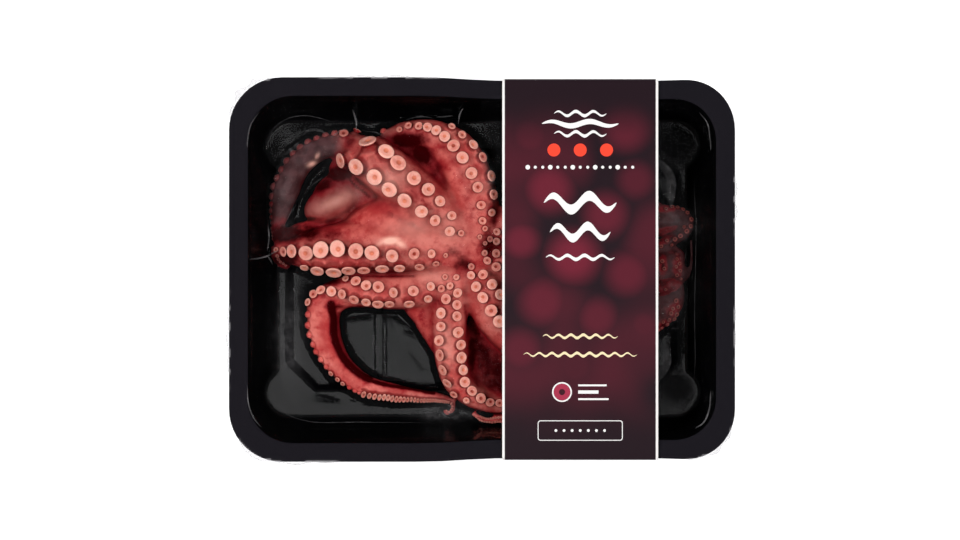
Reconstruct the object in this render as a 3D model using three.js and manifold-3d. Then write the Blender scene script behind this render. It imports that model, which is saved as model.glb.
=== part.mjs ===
// A whole cooked octopus in its chilled pack: a black thermoformed tray, the octopus lying in it with
// its suckers up, a clear skin film sealed to the tray's flange and sucked down over the octopus, and a
// printed card sleeve round the middle. Millimetres, +Z up. The origin is on the surface that the pack
// lies on, under the middle of the tray. +X runs along the tray, +Y away from the reader of the sleeve.

import * as THREE from "three";
import { mergeVertices } from "three/addons/utils/BufferGeometryUtils.js";
import Module from "manifold-3d";

const wasm = await Module();
wasm.setup();

// ---- Driving dimensions ------------------------------------------------------------------------

const TRAY_LENGTH = 250; // along X, over the flange
const TRAY_WIDTH = 190; // along Y, over the flange
const FLANGE_WIDTH = 9.5;
const TRAY_DEPTH = 31.4; // from the flange's top down to the floor
const SHEET = 0.8; // thickness of the tray's plastic
const GAP = 0.3; // clearance between pieces that touch
const CARD = 0.5; // thickness of the sleeve's card
const FILM = 0.25; // thickness of the film
const SLEEVE_LEFT = 10; // X of the sleeve's two cut edges
const SLEEVE_RIGHT = 87;
const PINCH = 1.7; // how far the tight sleeve draws the flange's long sides in

const TRAY_BASE = 2 * CARD + GAP; // the tray stands on the sleeve where its card is glued double
const FLOOR = TRAY_BASE + SHEET;
const FLANGE_TOP = FLOOR + TRAY_DEPTH;
const PANEL = FLOOR + 3; // the raised middle of the floor

// ---- Small helpers -----------------------------------------------------------------------------

const radians = THREE.MathUtils.degToRad;

function solidOf(geometry) {
  const bare = geometry.index ? geometry.toNonIndexed() : geometry.clone();
  bare.deleteAttribute("normal");
  bare.deleteAttribute("uv");
  const merged = mergeVertices(bare, 1e-3);
  const vertProperties = new Float32Array(merged.attributes.position.array);
  const triVerts = new Uint32Array(merged.index.array);
  return new wasm.Manifold(new wasm.Mesh({ numProp: 3, vertProperties, triVerts }));
}

function geometryOf(solid) {
  const mesh = solid.getMesh();
  const positions = new Float32Array(mesh.numVert * 3);
  for (let i = 0; i < mesh.numVert; i++) {
    const start = i * mesh.numProp;
    positions.set(mesh.vertProperties.subarray(start, start + 3), i * 3);
  }
  const geometry = new THREE.BufferGeometry();
  geometry.setAttribute("position", new THREE.BufferAttribute(positions, 3));
  geometry.setIndex(new THREE.BufferAttribute(mesh.triVerts, 1));
  geometry.computeVertexNormals();
  return geometry;
}

// A closed surface through rings of equally many points, with a fan over the first and the last ring.
// The rings run anticlockwise seen from above, from the solid's underside to its top.
function loft(rings) {
  const count = rings[0].length;
  const positions = rings.flat().flatMap((p) => [p.x, p.y, p.z]);
  const index = [];
  for (let r = 0; r + 1 < rings.length; r++) {
    for (let i = 0; i < count; i++) {
      const a = r * count + i;
      const b = r * count + ((i + 1) % count);
      index.push(a, b, b + count, a, b + count, a + count);
    }
  }
  for (const [ring, turned] of [[0, true], [rings.length - 1, false]]) {
    const middle = rings[ring].reduce((sum, p) => sum.add(p), new THREE.Vector3()).divideScalar(count);
    const hub = positions.length / 3;
    positions.push(middle.x, middle.y, middle.z);
    for (let i = 0; i < count; i++) {
      const a = ring * count + i;
      const b = ring * count + ((i + 1) % count);
      index.push(hub, turned ? b : a, turned ? a : b);
    }
  }
  const geometry = new THREE.BufferGeometry();
  geometry.setAttribute("position", new THREE.Float32BufferAttribute(positions, 3));
  geometry.setIndex(index);
  return geometry;
}

// ---- The tray ----------------------------------------------------------------------------------

const CORNER_STEPS = 6;
const SIDE_PLACES = [SLEEVE_RIGHT, 50, SLEEVE_LEFT, SLEEVE_LEFT - 40]; // X of points on the long sides

// How far the sleeve draws the flange in at X: fully under the card, fading out past its edges.
function pinchAt(x) {
  const { smoothstep } = THREE.MathUtils;
  const onLeft = smoothstep(x, SLEEVE_LEFT - 40, SLEEVE_LEFT);
  return PINCH * onLeft * (1 - smoothstep(x, SLEEVE_RIGHT, TRAY_LENGTH / 2));
}

// A rectangle whose four corners are rounded, or cut straight across, by `corner` millimetres. With a
// `dip`, a corner's arc starts that many degrees further down and so bulges past the short side.
function outline({ halfX, halfY, z, corner, cut, dip = 0, pinched }) {
  const points = [];
  const add = (x, y) => {
    const inwards = pinched ? Math.sign(y) * pinchAt(x) : 0;
    points.push(new THREE.Vector3(x, y - inwards, z));
  };
  for (let quarter = 0; quarter < 4; quarter++) {
    const signX = quarter === 0 || quarter === 3 ? 1 : -1;
    const signY = quarter < 2 ? 1 : -1;
    for (let step = 0; step <= CORNER_STEPS; step++) {
      const share = (quarter % 2 ? CORNER_STEPS - step : step) / CORNER_STEPS;
      const angle = radians((90 + dip) * share - dip);
      const alongX = cut ? 1 - share : Math.cos(angle);
      const alongY = cut ? share : Math.sin(angle);
      add(signX * (halfX - corner + corner * alongX), signY * (halfY - corner + corner * alongY));
    }
    if (quarter === 0) SIDE_PLACES.forEach((x) => add(x, halfY));
    if (quarter === 2) SIDE_PLACES.toReversed().forEach((x) => add(x, -halfY));
  }
  return points;
}

// The tray's inside from the flange's edge inwards: steep wall, sloping foot, flat ring, raised panel.
const flangeHalf = { halfX: TRAY_LENGTH / 2, halfY: TRAY_WIDTH / 2 };
const flangeEdge = { ...flangeHalf, z: FLANGE_TOP, corner: 26, pinched: true };
const mouth = { halfX: TRAY_LENGTH / 2 - FLANGE_WIDTH, halfY: TRAY_WIDTH / 2 - FLANGE_WIDTH };
const trayInside = [
  flangeEdge,
  { ...mouth, z: FLANGE_TOP, corner: 22, pinched: true },
  { halfX: 113, halfY: 79, z: FLOOR + 8, corner: 21, dip: 45 },
  { halfX: 110, halfY: 75, z: FLOOR, corner: 13, dip: 60 },
  { halfX: 97, halfY: 60, z: FLOOR, corner: 14, cut: true },
  { halfX: 94, halfY: 57, z: PANEL, corner: 13, cut: true },
];

// The same profile moved outwards and down by a distance across the sheet, mitred at each bend.
function offsetProfile(profile, distance) {
  return profile.map((ring, i) => {
    const before = profile[Math.max(i - 1, 0)];
    const after = profile[Math.min(i + 1, profile.length - 1)];
    const sides = [[before, ring], [ring, after]].filter(([p, q]) => p !== q);
    const normals = sides.map(([p, q]) => {
      const flat = new THREE.Vector2(p.z - q.z, p.halfX - q.halfX);
      return flat.normalize();
    });
    if (i === profile.length - 1) normals.push(new THREE.Vector2(0, 1));
    const mean = normals.reduce((sum, n) => sum.add(n), new THREE.Vector2()).normalize();
    const reach = distance / Math.max(mean.dot(normals[0]), 0.5);
    const out = { ...ring };
    out.halfX += i === 0 ? 0 : mean.x * reach;
    out.halfY += i === 0 ? 0 : mean.x * reach;
    out.z -= i === 0 ? distance : mean.y * reach;
    return out;
  });
}

const RIB = { width: 2.6, height: 0.8, halfLength: 54, offset: 51 };

function buildTray() {
  const underside = offsetProfile(trayInside, SHEET).reverse();
  const shell = solidOf(loft([...underside, ...trayInside].map(outline)));
  const rib = new THREE.BoxGeometry(RIB.width, 2 * RIB.halfLength, RIB.height + SHEET / 2);
  let tray = shell;
  for (const side of [-1, 1]) {
    const placed = rib.clone().translate(side * RIB.offset, 0, PANEL + RIB.height / 2 - SHEET / 4);
    tray = tray.add(solidOf(placed));
  }
  return tray;
}

// The space inside the tray, clear of it by the gap, that the octopus has to stay in.
function trayCavity() {
  const roomy = offsetProfile(trayInside.slice(1), -GAP).reverse();
  for (const ring of roomy) ring.z += ring.z < PANEL + 1 && ring.halfX < 100 ? RIB.height : 0;
  const above = { ...roomy[roomy.length - 1], z: FLANGE_TOP + TRAY_DEPTH };
  return solidOf(loft([...roomy, above].map(outline)));
}

// ---- The octopus -------------------------------------------------------------------------------

const ARM_SIDES = 8;
const ARM_STEP = 10; // arms have a ring of points about this often
const ARM_FLATNESS = 0.82; // an arm's height over its width: it sags under its own weight
const SUCKER_SPREAD = 31; // degrees from the middle of the sucker side to each row
const SUCKER_SHARE = 0.61; // a sucker's diameter over the arm's half width
const SUCKER_PITCH = 0.68; // distance along a row over the arm's half width
const SUCKER_SIDES = 6;
const LEAST_SUCKER = 5.2; // narrower suckers are too fine for this model
const CUPPED = 6.8; // narrower ones are only hollow, without the cup's flat rim

// Each arm is a row of stations: X, Y, height of its middle, half width, and the turn of its sucker
// side in degrees from straight up, positive to the left of someone walking out along the arm.
const arms = {
  upper_left: [
    [-4, 10, 16, 11, 0], [-16, 22.5, 18.4, 11.3, 0], [-29, 34, 19.4, 12.2, 0],
    [-43.5, 45.7, 20, 12.6, 0], [-54, 54, 18.8, 12.4, 0], [-60.3, 57.3, 15.6, 10.4, -10],
    [-66.5, 61.5, 11.4, 6.8, -70], [-76, 61.3, 10.2, 5.6, -105], [-84.5, 57.6, 10, 5.7, -108],
    [-92, 50.5, 10, 5.9, -108], [-97.3, 39.5, 9.8, 6.4, -108], [-100, 29.5, 9.4, 4.9, -108],
    [-102, 22, 9, 3.3, -105], [-103, 14, 8.6, 2, -100],
  ],
  left: [
    [-4, 9, 16, 11, 22], [-18, 10, 18, 12.4, 27], [-31, 11.5, 18.6, 12.6, 30], [-48, 12, 18.8, 13.2, 31],
    [-66, 11.2, 18, 12.8, 31], [-79, 9.9, 16.4, 11.4, 31], [-88, 9.4, 14.2, 9.2, 31],
    [-95.5, 9.4, 12, 6.8, 31], [-101.5, 9.6, 10, 4.2, 31], [-101.5, 5, 8.6, 2.8, 31], [-96, 1, 8, 2, 31],
  ],
  lower_left: [
    [-4, 7, 14, 10, 20], [-15, -1.5, 15, 9.8, 24], [-28, -9, 15.5, 9.4, 24], [-43, -11, 15.5, 8.9, 24],
    [-58, -10.2, 15, 8.6, 14], [-70, -12, 13.4, 7.8, -25], [-77.8, -17.2, 12.8, 8.6, -85],
    [-78.8, -27.5, 12.4, 8, -90], [-75.6, -39.7, 12, 7.2, -90], [-68.1, -50.6, 11, 6, -80],
    [-57, -57.9, 10.2, 5, -50], [-45, -60.9, 9.4, 4.2, -42], [-32, -62.9, 8.8, 3.3, -38],
    [-21, -64, 8, 2.5, -35], [-14.2, -66.4, 7.6, 1.7, -35], [-14.6, -70.2, 7, 1.4, -35],
    [-17, -71.9, 6.8, 1.3, -35], [-19.3, -69.8, 6.8, 1, -35],
  ],
  lower: [
    [-4, 7, 14, 10, 0], [-11.5, -8, 15.2, 9.4, 0], [-16, -21, 15.8, 9.2, 0], [-16.2, -35, 15.4, 8.6, -5],
    [-15, -47, 14.4, 7.8, -10], [-11.8, -56, 12.8, 7.2, -10], [-4.5, -62.5, 11.2, 6.4, 0],
    [7, -66.5, 10, 5.4, 0], [18, -66, 9.4, 4.2, 0], [24, -69, 8.8, 3.2, 0], [20, -73.2, 8.4, 2.5, 0],
    [9, -74.8, 8.6, 2, 0], [1, -75, 8.4, 1.7, 0], [-5, -71.4, 8, 1.3, 0],
  ],
  lower_right: [
    [-4, 7, 14, 10, 0], [-1.5, -2, 15.6, 10, 0], [2.2, -11, 16.6, 12, 0], [7.5, -19.5, 17, 13, 0],
    [17, -31, 16.6, 12.4, 0], [30, -39.5, 15.6, 11, 0], [44, -42, 14.4, 10, 0],
    [57, -39.5, 13.2, 9.6, 0], [71, -33, 12, 9.4, 0], [83, -23.5, 11, 9.2, -30], [91, -19, 10, 8.2, -50],
    [96, -15.6, 9.2, 5.4, -60], [99, -11, 8.4, 2.6, -60], [99.3, -8.4, 8.2, 1.7, -60],
    [95, -8, 8.4, 1.6, -60], [89.5, -9.2, 8.6, 1.4, -60],
  ],
  right: [
    [1, 8, 14, 10, 0], [16, 3.5, 16.6, 11, 0], [36, -2, 17.6, 12, 0], [58, -3, 16, 11, 0],
    [77, 0, 13.4, 9.6, 0], [89, 1.5, 11.2, 8, -20], [95, 1.2, 10.4, 7.2, -60], [98.8, -2, 9.2, 3.8, -60],
    [101, -5, 8.6, 1.8, -70], [103.2, -2, 8.4, 1.3, -70], [104.6, 4, 8.2, 1.1, -70],
    [104.8, 10, 8.2, 1, -70], [104, 15.5, 8.4, 0.9, -70],
  ],
  upper_right: [
    [0, 11.5, 14, 10, 0], [13, 20.5, 16.6, 11, 0], [29, 28.5, 17.2, 12, 0], [48, 32.5, 16, 11, 10],
    [68, 31.5, 13.6, 9.4, 30], [83, 27.5, 11.8, 7.2, 60], [92, 26.9, 10.6, 5.4, 75],
    [99, 26.5, 10, 4.7, 70], [102.5, 23, 10, 3.8, 30], [100.6, 18.6, 10.8, 3.4, 0],
    [95, 15.2, 11.4, 3.2, 0], [88.5, 12.2, 12, 3, 0], [80, 10.2, 12.2, 2.4, 0], [72, 9, 12.2, 1.8, 0],
  ],
  upper: [
    [-3, 11.5, 15, 10.4, -25], [-1.8, 23.5, 17.6, 11, -34], [-4, 35.5, 18.2, 12, -36],
    [-7.5, 47.5, 18.2, 12, -36], [-13.5, 58.5, 17.2, 11.2, -36], [-23.5, 65.5, 15.4, 9, -38],
    [-35, 67.3, 13, 7, -40], [-44.5, 65.5, 10.4, 5.4, -45], [-50, 58.5, 8.4, 4, -45],
    [-51, 49, 8, 2.8, -45],
  ],
};

// The suckers that lie open to view, where they are wide enough for this model: X, Y and diameter.
const seenSuckers = {
  upper_left: [
    [-56.8, 61.6, 8.6], [-47.6, 58.3, 8], [-41.3, 52.4, 7.9], [-33.9, 45.2, 7.5], [-26.5, 39.5, 6.7],
    [-20.9, 33.9, 5.5], [-69.4, 54.5, 7.4], [-61.9, 51, 8.6], [-53, 45.5, 8.1], [-45.4, 39.2, 7.6],
    [-38, 33.9, 7], [-29.9, 28.6, 6.4], [-23.1, 24.1, 5.5],
  ],
  left: [
    [-93.8, 9.2, 6.6], [-86.7, 8.4, 7.6], [-79.7, 9.9, 8.6], [-71.4, 10.4, 8], [-62.4, 9.1, 7.5],
    [-54.1, 8.3, 7.2], [-44.1, 6.7, 6.6], [-33.9, 7.8, 5.5], [-81.5, 0.4, 7], [-73.4, -0.2, 8.4],
    [-66.1, 0.6, 7], [-58.4, 0.6, 6.3], [-49.7, 1.1, 6.2], [-40.6, 1.2, 5.6],
  ],
  lower_left: [
    [-51, -8.6, 5.6], [-44, -11.1, 5.2], [-33.9, -10.6, 5.3], [-63.4, -14.1, 5.2], [-51.7, -16.4, 5.6],
    [-45.8, -16, 5.2], [-36.5, -15.9, 5.6],
  ],
  lower: [
    [-20.3, -21.6, 5.2], [-20.3, -28.6, 5.3], [-21.2, -34.9, 5.6], [-20, -42.2, 5.5],
    [-18.6, -49.4, 5.3], [-11.8, -31.1, 5.3], [-10.3, -43.7, 5.6], [-9.5, -49.8, 5.6],
    [-8.6, -55.9, 5.6], [-5, -60.2, 5.2],
  ],
  lower_right: [
    [-2.9, -8.5, 5.3], [0.4, -13.9, 5.7], [4.4, -20.1, 6.2], [8.6, -25.6, 6.6], [5, -7.3, 5.3],
    [8.9, -12.4, 5.6],
  ],
  upper: [
    [-22.4, 68.9, 5.2], [-18.4, 65.8, 5.6], [-14, 61.3, 6], [-9.5, 55.1, 6.2], [-5.2, 47.8, 5.9],
    [-2.1, 40.6, 5.5], [4.6, 46.2, 5.3],
  ],
};

// The soft body under the arms and the webs between them: middle, half sizes, and turn about Z.
const bodyParts = [
  { at: [-8, 10, 13], half: [24, 21, 11.5], turn: 0 }, // the ring round the mouth
  { at: [-74.5, 34, 12.5], half: [15.5, 9, 8.5], turn: 30 }, // the head, folded under
  { at: [-71, 41, 9.5], half: [15, 8.5, 7.5], turn: 30 }, // the head's far side
  { at: [-59, 42, 10], half: [20, 12.5, 8.5], turn: -38 }, // the fold behind the head
  { at: [-38, 23, 15], half: [34, 17, 13], turn: 14 }, // web between the upper left and left arms
  { at: [-83, 16.5, 9.5], half: [20, 8.5, 5.5], turn: 8 }, // the left arm's far flank
  { at: [-24, 46, 11.5], half: [27, 10, 8], turn: 131 }, // web between the upper left and upper arms
  { at: [-20.5, -28.5, 11], half: [31, 10.5, 6.5], turn: -58 }, // web from the lower left to the lower arm
  { at: [-31, -19, 11], half: [15, 7, 6], turn: -50 }, // the same web, where it meets the lower left arm
  { at: [9, -39, 8.5], half: [19, 29, 6], turn: 0 }, // web between the lower and lower right arms
  { at: [30, 13, 12], half: [26, 14, 7], turn: 8 }, // web between the two right-hand arms
];

// Where an arm is, and how its section lies, at any place along its length.
class Arm {
  constructor(name, stations) {
    this.stations = stations;
    this.seen = seenSuckers[name] ?? [];
    this.curve = new THREE.CatmullRomCurve3(stations.map(([x, y, z]) => new THREE.Vector3(x, y, z)));
    this.curve.arcLengthDivisions = 400;
    this.length = this.curve.getLength();
  }

  at(distance) {
    const share = this.curve.getUtoTmapping(0, Math.min(distance, this.length));
    const along = share * (this.stations.length - 1);
    const first = Math.min(Math.floor(along), this.stations.length - 2);
    const rest = THREE.MathUtils.smoothstep(along - first, 0, 1) * 0.5 + (along - first) * 0.5;
    const mix = (k) => THREE.MathUtils.lerp(this.stations[first][k], this.stations[first + 1][k], rest);
    const middle = this.curve.getPoint(share);
    const forward = this.curve.getTangent(share);
    const left = new THREE.Vector3(0, 0, 1).cross(forward).normalize();
    const up = forward.clone().cross(left).normalize();
    return { middle, forward, left, up, halfWidth: mix(3), turn: mix(4) };
  }

  // The point of the skin at an angle from straight up, positive to the left, and its outward normal.
  skin(distance, degrees) {
    const { middle, left, up, halfWidth } = this.at(distance);
    const sine = Math.sin(radians(degrees));
    const cosine = Math.cos(radians(degrees));
    const halfHeight = halfWidth * ARM_FLATNESS;
    const point = middle.clone().addScaledVector(left, sine * halfWidth);
    point.addScaledVector(up, cosine * halfHeight);
    const normal = left.clone().multiplyScalar(sine / halfWidth).addScaledVector(up, cosine / halfHeight);
    return { point, normal: normal.normalize() };
  }
}

function armSolid(arm) {
  const steps = Math.ceil(arm.length / ARM_STEP);
  const rings = [];
  for (let step = 0; step <= steps; step++) {
    const distance = (step / steps) * arm.length;
    const ring = [];
    for (let side = 0; side < ARM_SIDES; side++) {
      ring.push(arm.skin(distance, (-360 * side) / ARM_SIDES).point);
    }
    rings.push(ring);
  }
  return solidOf(loft(rings));
}

// A sucker is a short stalk that flares to a flat rim with a cup in its middle.
function suckerSolid(point, normal, diameter) {
  const radius = diameter / 2;
  const sunk = 0.7 * radius;
  const proud = 0.42 * radius;
  const rim = [[0, -sunk], [0.72, -sunk], [1, proud]];
  const profile = diameter < CUPPED ? [...rim, [0, 0.3]] : [...rim, [0.42, proud], [0, 0.1 * radius]];
  const points = profile.map(([across, high]) => new THREE.Vector2(across * radius, high));
  const geometry = new THREE.LatheGeometry(points, SUCKER_SIDES);
  const turned = new THREE.Quaternion().setFromUnitVectors(new THREE.Vector3(0, 1, 0), normal);
  geometry.applyQuaternion(turned).translate(point.x, point.y, point.z);
  return solidOf(geometry);
}

// Where on an arm's skin a sucker stands if it is seen at the given place from above.
function standsAt(arm, x, y, diameter) {
  let best = { far: Infinity };
  for (let distance = 0; distance <= arm.length; distance += 0.5) {
    const { middle, left, halfWidth } = arm.at(distance);
    const aside = (x - middle.x) * left.x + (y - middle.y) * left.y;
    const sine = THREE.MathUtils.clamp(aside / (halfWidth + 0.25 * diameter), -0.92, 0.92);
    const { point, normal } = arm.skin(distance, THREE.MathUtils.radToDeg(Math.asin(sine)));
    const far = Math.hypot(
      point.x + 0.25 * diameter * normal.x - x,
      point.y + 0.25 * diameter * normal.y - y,
    );
    if (far < best.far) best = { far, distance, point, normal };
  }
  return best;
}

// The suckers in open view have their own places. Further on two rows alternate and shrink with the arm.
function suckersOf(arm) {
  const found = [];
  let distance = 0;
  for (const [x, y, diameter] of arm.seen) {
    const { distance: along, point, normal } = standsAt(arm, x, y, diameter);
    found.push({ point, normal, diameter });
    distance = Math.max(distance, along);
  }
  distance += 6;
  for (let row = 0; distance < arm.length - 4; row = 1 - row) {
    const { halfWidth, turn } = arm.at(distance);
    const diameter = SUCKER_SHARE * halfWidth;
    const { point, normal } = arm.skin(distance, turn + (row ? SUCKER_SPREAD : -SUCKER_SPREAD));
    if (diameter >= LEAST_SUCKER && normal.z > -0.2) found.push({ point, normal, diameter });
    distance += (SUCKER_PITCH * halfWidth) / 2;
  }
  return found;
}

function buildOctopus() {
  let octopus = null;
  const join = (solid) => {
    octopus = octopus ? octopus.add(solid) : solid;
  };
  for (const { at, half, turn } of bodyParts) {
    const ball = new THREE.SphereGeometry(1, 12, 7);
    ball.rotateX(Math.PI / 2).scale(...half).rotateZ(radians(turn)).translate(...at);
    join(solidOf(ball));
  }
  const built = Object.entries(arms).map(([name, stations]) => new Arm(name, stations));
  for (const arm of built) join(armSolid(arm));
  const suckers = built.flatMap(suckersOf);
  for (const { point, normal, diameter } of suckers) join(suckerSolid(point, normal, diameter));
  console.log("suckers", suckers.length);
  return octopus.intersect(trayCavity());
}

// ---- The film ----------------------------------------------------------------------------------

const FILM_INSET = 0.5; // the film ends this far inside the flange's edge
const FILM_CELL = 10; // the film's grid over the raised floor
const SAMPLE = 1; // spacing of the heights that the film is laid over
const DRAPE_PASSES = 90;

// Heights of the highest surface of the given solids, on a square grid over the tray.
function heightMap(solids) {
  const columns = TRAY_LENGTH / SAMPLE + 1;
  const rows = TRAY_WIDTH / SAMPLE + 1;
  const heights = new Float32Array(columns * rows).fill(FLOOR);
  for (const solid of solids) {
    const { vertProperties, triVerts, numProp } = solid.getMesh();
    const corner = (k) => new THREE.Vector3().fromArray(vertProperties, triVerts[k] * numProp);
    for (let k = 0; k < triVerts.length; k += 3) {
      const [a, b, c] = [corner(k), corner(k + 1), corner(k + 2)];
      for (const p of [a, b, c]) {
        p.x = (p.x + TRAY_LENGTH / 2) / SAMPLE;
        p.y = (p.y + TRAY_WIDTH / 2) / SAMPLE;
      }
      const area = (b.x - a.x) * (c.y - a.y) - (c.x - a.x) * (b.y - a.y);
      if (area <= 1e-6) continue;
      const fromY = Math.ceil(Math.min(a.y, b.y, c.y));
      const toY = Math.floor(Math.max(a.y, b.y, c.y));
      const fromX = Math.ceil(Math.min(a.x, b.x, c.x));
      const toX = Math.floor(Math.max(a.x, b.x, c.x));
      for (let y = fromY; y <= toY; y++) {
        for (let x = fromX; x <= toX; x++) {
          const shareC = ((b.x - a.x) * (y - a.y) - (x - a.x) * (b.y - a.y)) / area;
          const shareB = ((x - a.x) * (c.y - a.y) - (c.x - a.x) * (y - a.y)) / area;
          if (shareB < 0 || shareC < 0 || shareB + shareC > 1) continue;
          const height = a.z + shareB * (b.z - a.z) + shareC * (c.z - a.z);
          heights[y * columns + x] = Math.max(heights[y * columns + x], height);
        }
      }
    }
  }
  return { heights, columns, rows };
}

// Each height raised to the highest of its neighbours, so that the film clears steep sides too.
function widened({ heights, columns, rows }) {
  const out = heights.slice();
  for (let y = 1; y < rows - 1; y++) {
    for (let x = 1; x < columns - 1; x++) {
      for (const [dx, dy] of [[-1, 0], [1, 0], [0, -1], [0, 1], [-1, -1], [1, 1], [-1, 1], [1, -1]]) {
        const k = y * columns + x;
        out[k] = Math.max(out[k], heights[k + dy * columns + dx]);
      }
    }
  }
  return { heights: out, columns, rows };
}

// Grid lines along one axis: close together over the flange and the wall, even over the floor.
function gridLines(half, wallPlaces) {
  const cells = Math.round((2 * wallPlaces[wallPlaces.length - 1]) / FILM_CELL);
  const inner = wallPlaces[wallPlaces.length - 1];
  const middle = Array.from({ length: cells - 1 }, (_, i) => -inner + ((i + 1) * 2 * inner) / cells);
  return [-half, ...wallPlaces.map((w) => -w), ...middle, ...[...wallPlaces].reverse(), half];
}

// Raises the corners of the grid until its flat facets clear every height below them, while a suction
// that fades out draws them down again.
function drape(xs, ys, map) {
  const level = new Float32Array(xs.length * ys.length);
  const target = (x, y) => {
    const column = Math.round((x + TRAY_LENGTH / 2) / SAMPLE);
    const row = Math.round((y + TRAY_WIDTH / 2) / SAMPLE);
    return map.heights[row * map.columns + column] + GAP;
  };
  const atRim = (x, y) => Math.abs(x) === TRAY_LENGTH / 2 || Math.abs(y) === TRAY_WIDTH / 2;
  ys.forEach((y, j) => xs.forEach((x, i) => {
    level[j * xs.length + i] = atRim(x, y) ? FLANGE_TOP + GAP : target(x, y);
  }));
  const lowest = level.slice();
  for (let pass = 0; pass < DRAPE_PASSES; pass++) {
    const suction = 0.4 * (1 - pass / DRAPE_PASSES);
    level.forEach((now, k) => (level[k] = now + suction * (lowest[k] - now)));
    for (let row = 0, j = 0; row < map.rows; row++) {
      const y = row * SAMPLE - TRAY_WIDTH / 2;
      while (j < ys.length - 2 && y > ys[j + 1]) j++;
      for (let column = 0, i = 0; column < map.columns; column++) {
        const x = column * SAMPLE - TRAY_LENGTH / 2;
        while (i < xs.length - 2 && x > xs[i + 1]) i++;
        const across = (x - xs[i]) / (xs[i + 1] - xs[i]);
        const up = (y - ys[j]) / (ys[j + 1] - ys[j]);
        const first = j * xs.length + i;
        const last = first + xs.length + 1;
        const third = across > up ? first + 1 : first + xs.length;
        const shares = [1 - Math.max(across, up), Math.min(across, up), Math.abs(across - up)];
        const corners = [first, last, third];
        const now = corners.reduce((sum, k, n) => sum + shares[n] * level[k], 0);
        const missing = map.heights[row * map.columns + column] + GAP - now;
        if (missing <= 0) continue;
        const weight = shares.reduce((sum, w) => sum + w * w, 0);
        corners.forEach((k, n) => {
          level[k] = Math.min(level[k] + (missing * shares[n]) / weight, FLANGE_TOP + GAP);
        });
      }
    }
  }
  return level;
}

function buildFilm(tray, octopus) {
  const map = widened(heightMap([tray, octopus]));
  const xs = gridLines(TRAY_LENGTH / 2, [114.5, 110, 104, 94]);
  const ys = gridLines(TRAY_WIDTH / 2, [84.5, 77, 68, 57]);
  const level = drape(xs, ys, map);
  const lower = ys.flatMap((y, j) => xs.map((x, i) => new THREE.Vector3(x, y, level[j * xs.length + i])));
  const across = xs.length;
  const facets = [];
  for (let j = 0; j + 1 < ys.length; j++) {
    for (let i = 0; i + 1 < across; i++) {
      const k = j * across + i;
      facets.push([k, k + 1, k + across + 1], [k, k + across + 1, k + across]);
    }
  }
  const normals = lower.map(() => new THREE.Vector3());
  for (const [a, b, c] of facets) {
    const edge = lower[b].clone().sub(lower[a]);
    const normal = edge.cross(lower[c].clone().sub(lower[a]));
    for (const k of [a, b, c]) normals[k].add(normal);
  }
  const upper = lower.map((p, k) => p.clone().addScaledVector(normals[k].normalize(), FILM));
  const index = facets.flatMap(([a, b, c]) => [a, c, b]);
  index.push(...facets.flat().map((k) => k + lower.length));
  const rim = [];
  for (let i = 0; i < across; i++) rim.push(i);
  for (let j = 1; j < ys.length; j++) rim.push(j * across + across - 1);
  for (let i = across - 2; i >= 0; i--) rim.push((ys.length - 1) * across + i);
  for (let j = ys.length - 2; j > 0; j--) rim.push(j * across);
  rim.forEach((a, n) => {
    const b = rim[(n + 1) % rim.length];
    index.push(a, b, b + lower.length, a, b + lower.length, a + lower.length);
  });
  const sheet = new THREE.BufferGeometry();
  const positions = [...lower, ...upper].flatMap((p) => [p.x, p.y, p.z]);
  sheet.setAttribute("position", new THREE.Float32BufferAttribute(positions, 3));
  sheet.setIndex(index);
  const { halfX, halfY } = flangeEdge;
  const edge = { ...flangeEdge, halfX: halfX - FILM_INSET, halfY: halfY - FILM_INSET };
  const cutter = loft([{ ...edge, z: 0 }, { ...edge, z: 2 * FLANGE_TOP }].map(outline));
  return solidOf(sheet).intersect(solidOf(cutter));
}

// ---- The sleeve --------------------------------------------------------------------------------

const SLEEVE_TOP = FLANGE_TOP + GAP + FILM + GAP + 0.1; // inside of the sleeve's top panel
const SLEEVE_HALF_TOP = TRAY_WIDTH / 2 - PINCH + GAP; // half widths of the inside, at top and bottom
const SLEEVE_HALF_BASE = 77;
const SLEEVE_LIP = FLANGE_TOP - SHEET - 0.5; // the card stands upright down to here, round the flange
const GLUED = { from: -34, to: -14 }; // the strip where the card's two ends overlap

// A closed polygon of the sleeve's section, its corners folded to a small radius.
function sleeveSection(outwards, fold) {
  const low = CARD - outwards;
  const high = SLEEVE_TOP + outwards;
  const [top, base] = [SLEEVE_HALF_TOP + outwards, SLEEVE_HALF_BASE + outwards];
  const lip = SLEEVE_LIP - 0.3 * outwards;
  const corners = [[top, lip], [top, high], [-top, high], [-top, lip], [-base, low], [base, low]].map(
    ([y, z]) => new THREE.Vector2(y, z),
  );
  const points = [];
  corners.forEach((corner, i) => {
    const before = corners[(i + 5) % 6].clone().sub(corner).setLength(fold).add(corner);
    const after = corners[(i + 1) % 6].clone().sub(corner).setLength(fold).add(corner);
    points.push(...new THREE.QuadraticBezierCurve(before, corner, after).getPoints(3));
  });
  return points;
}

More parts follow.
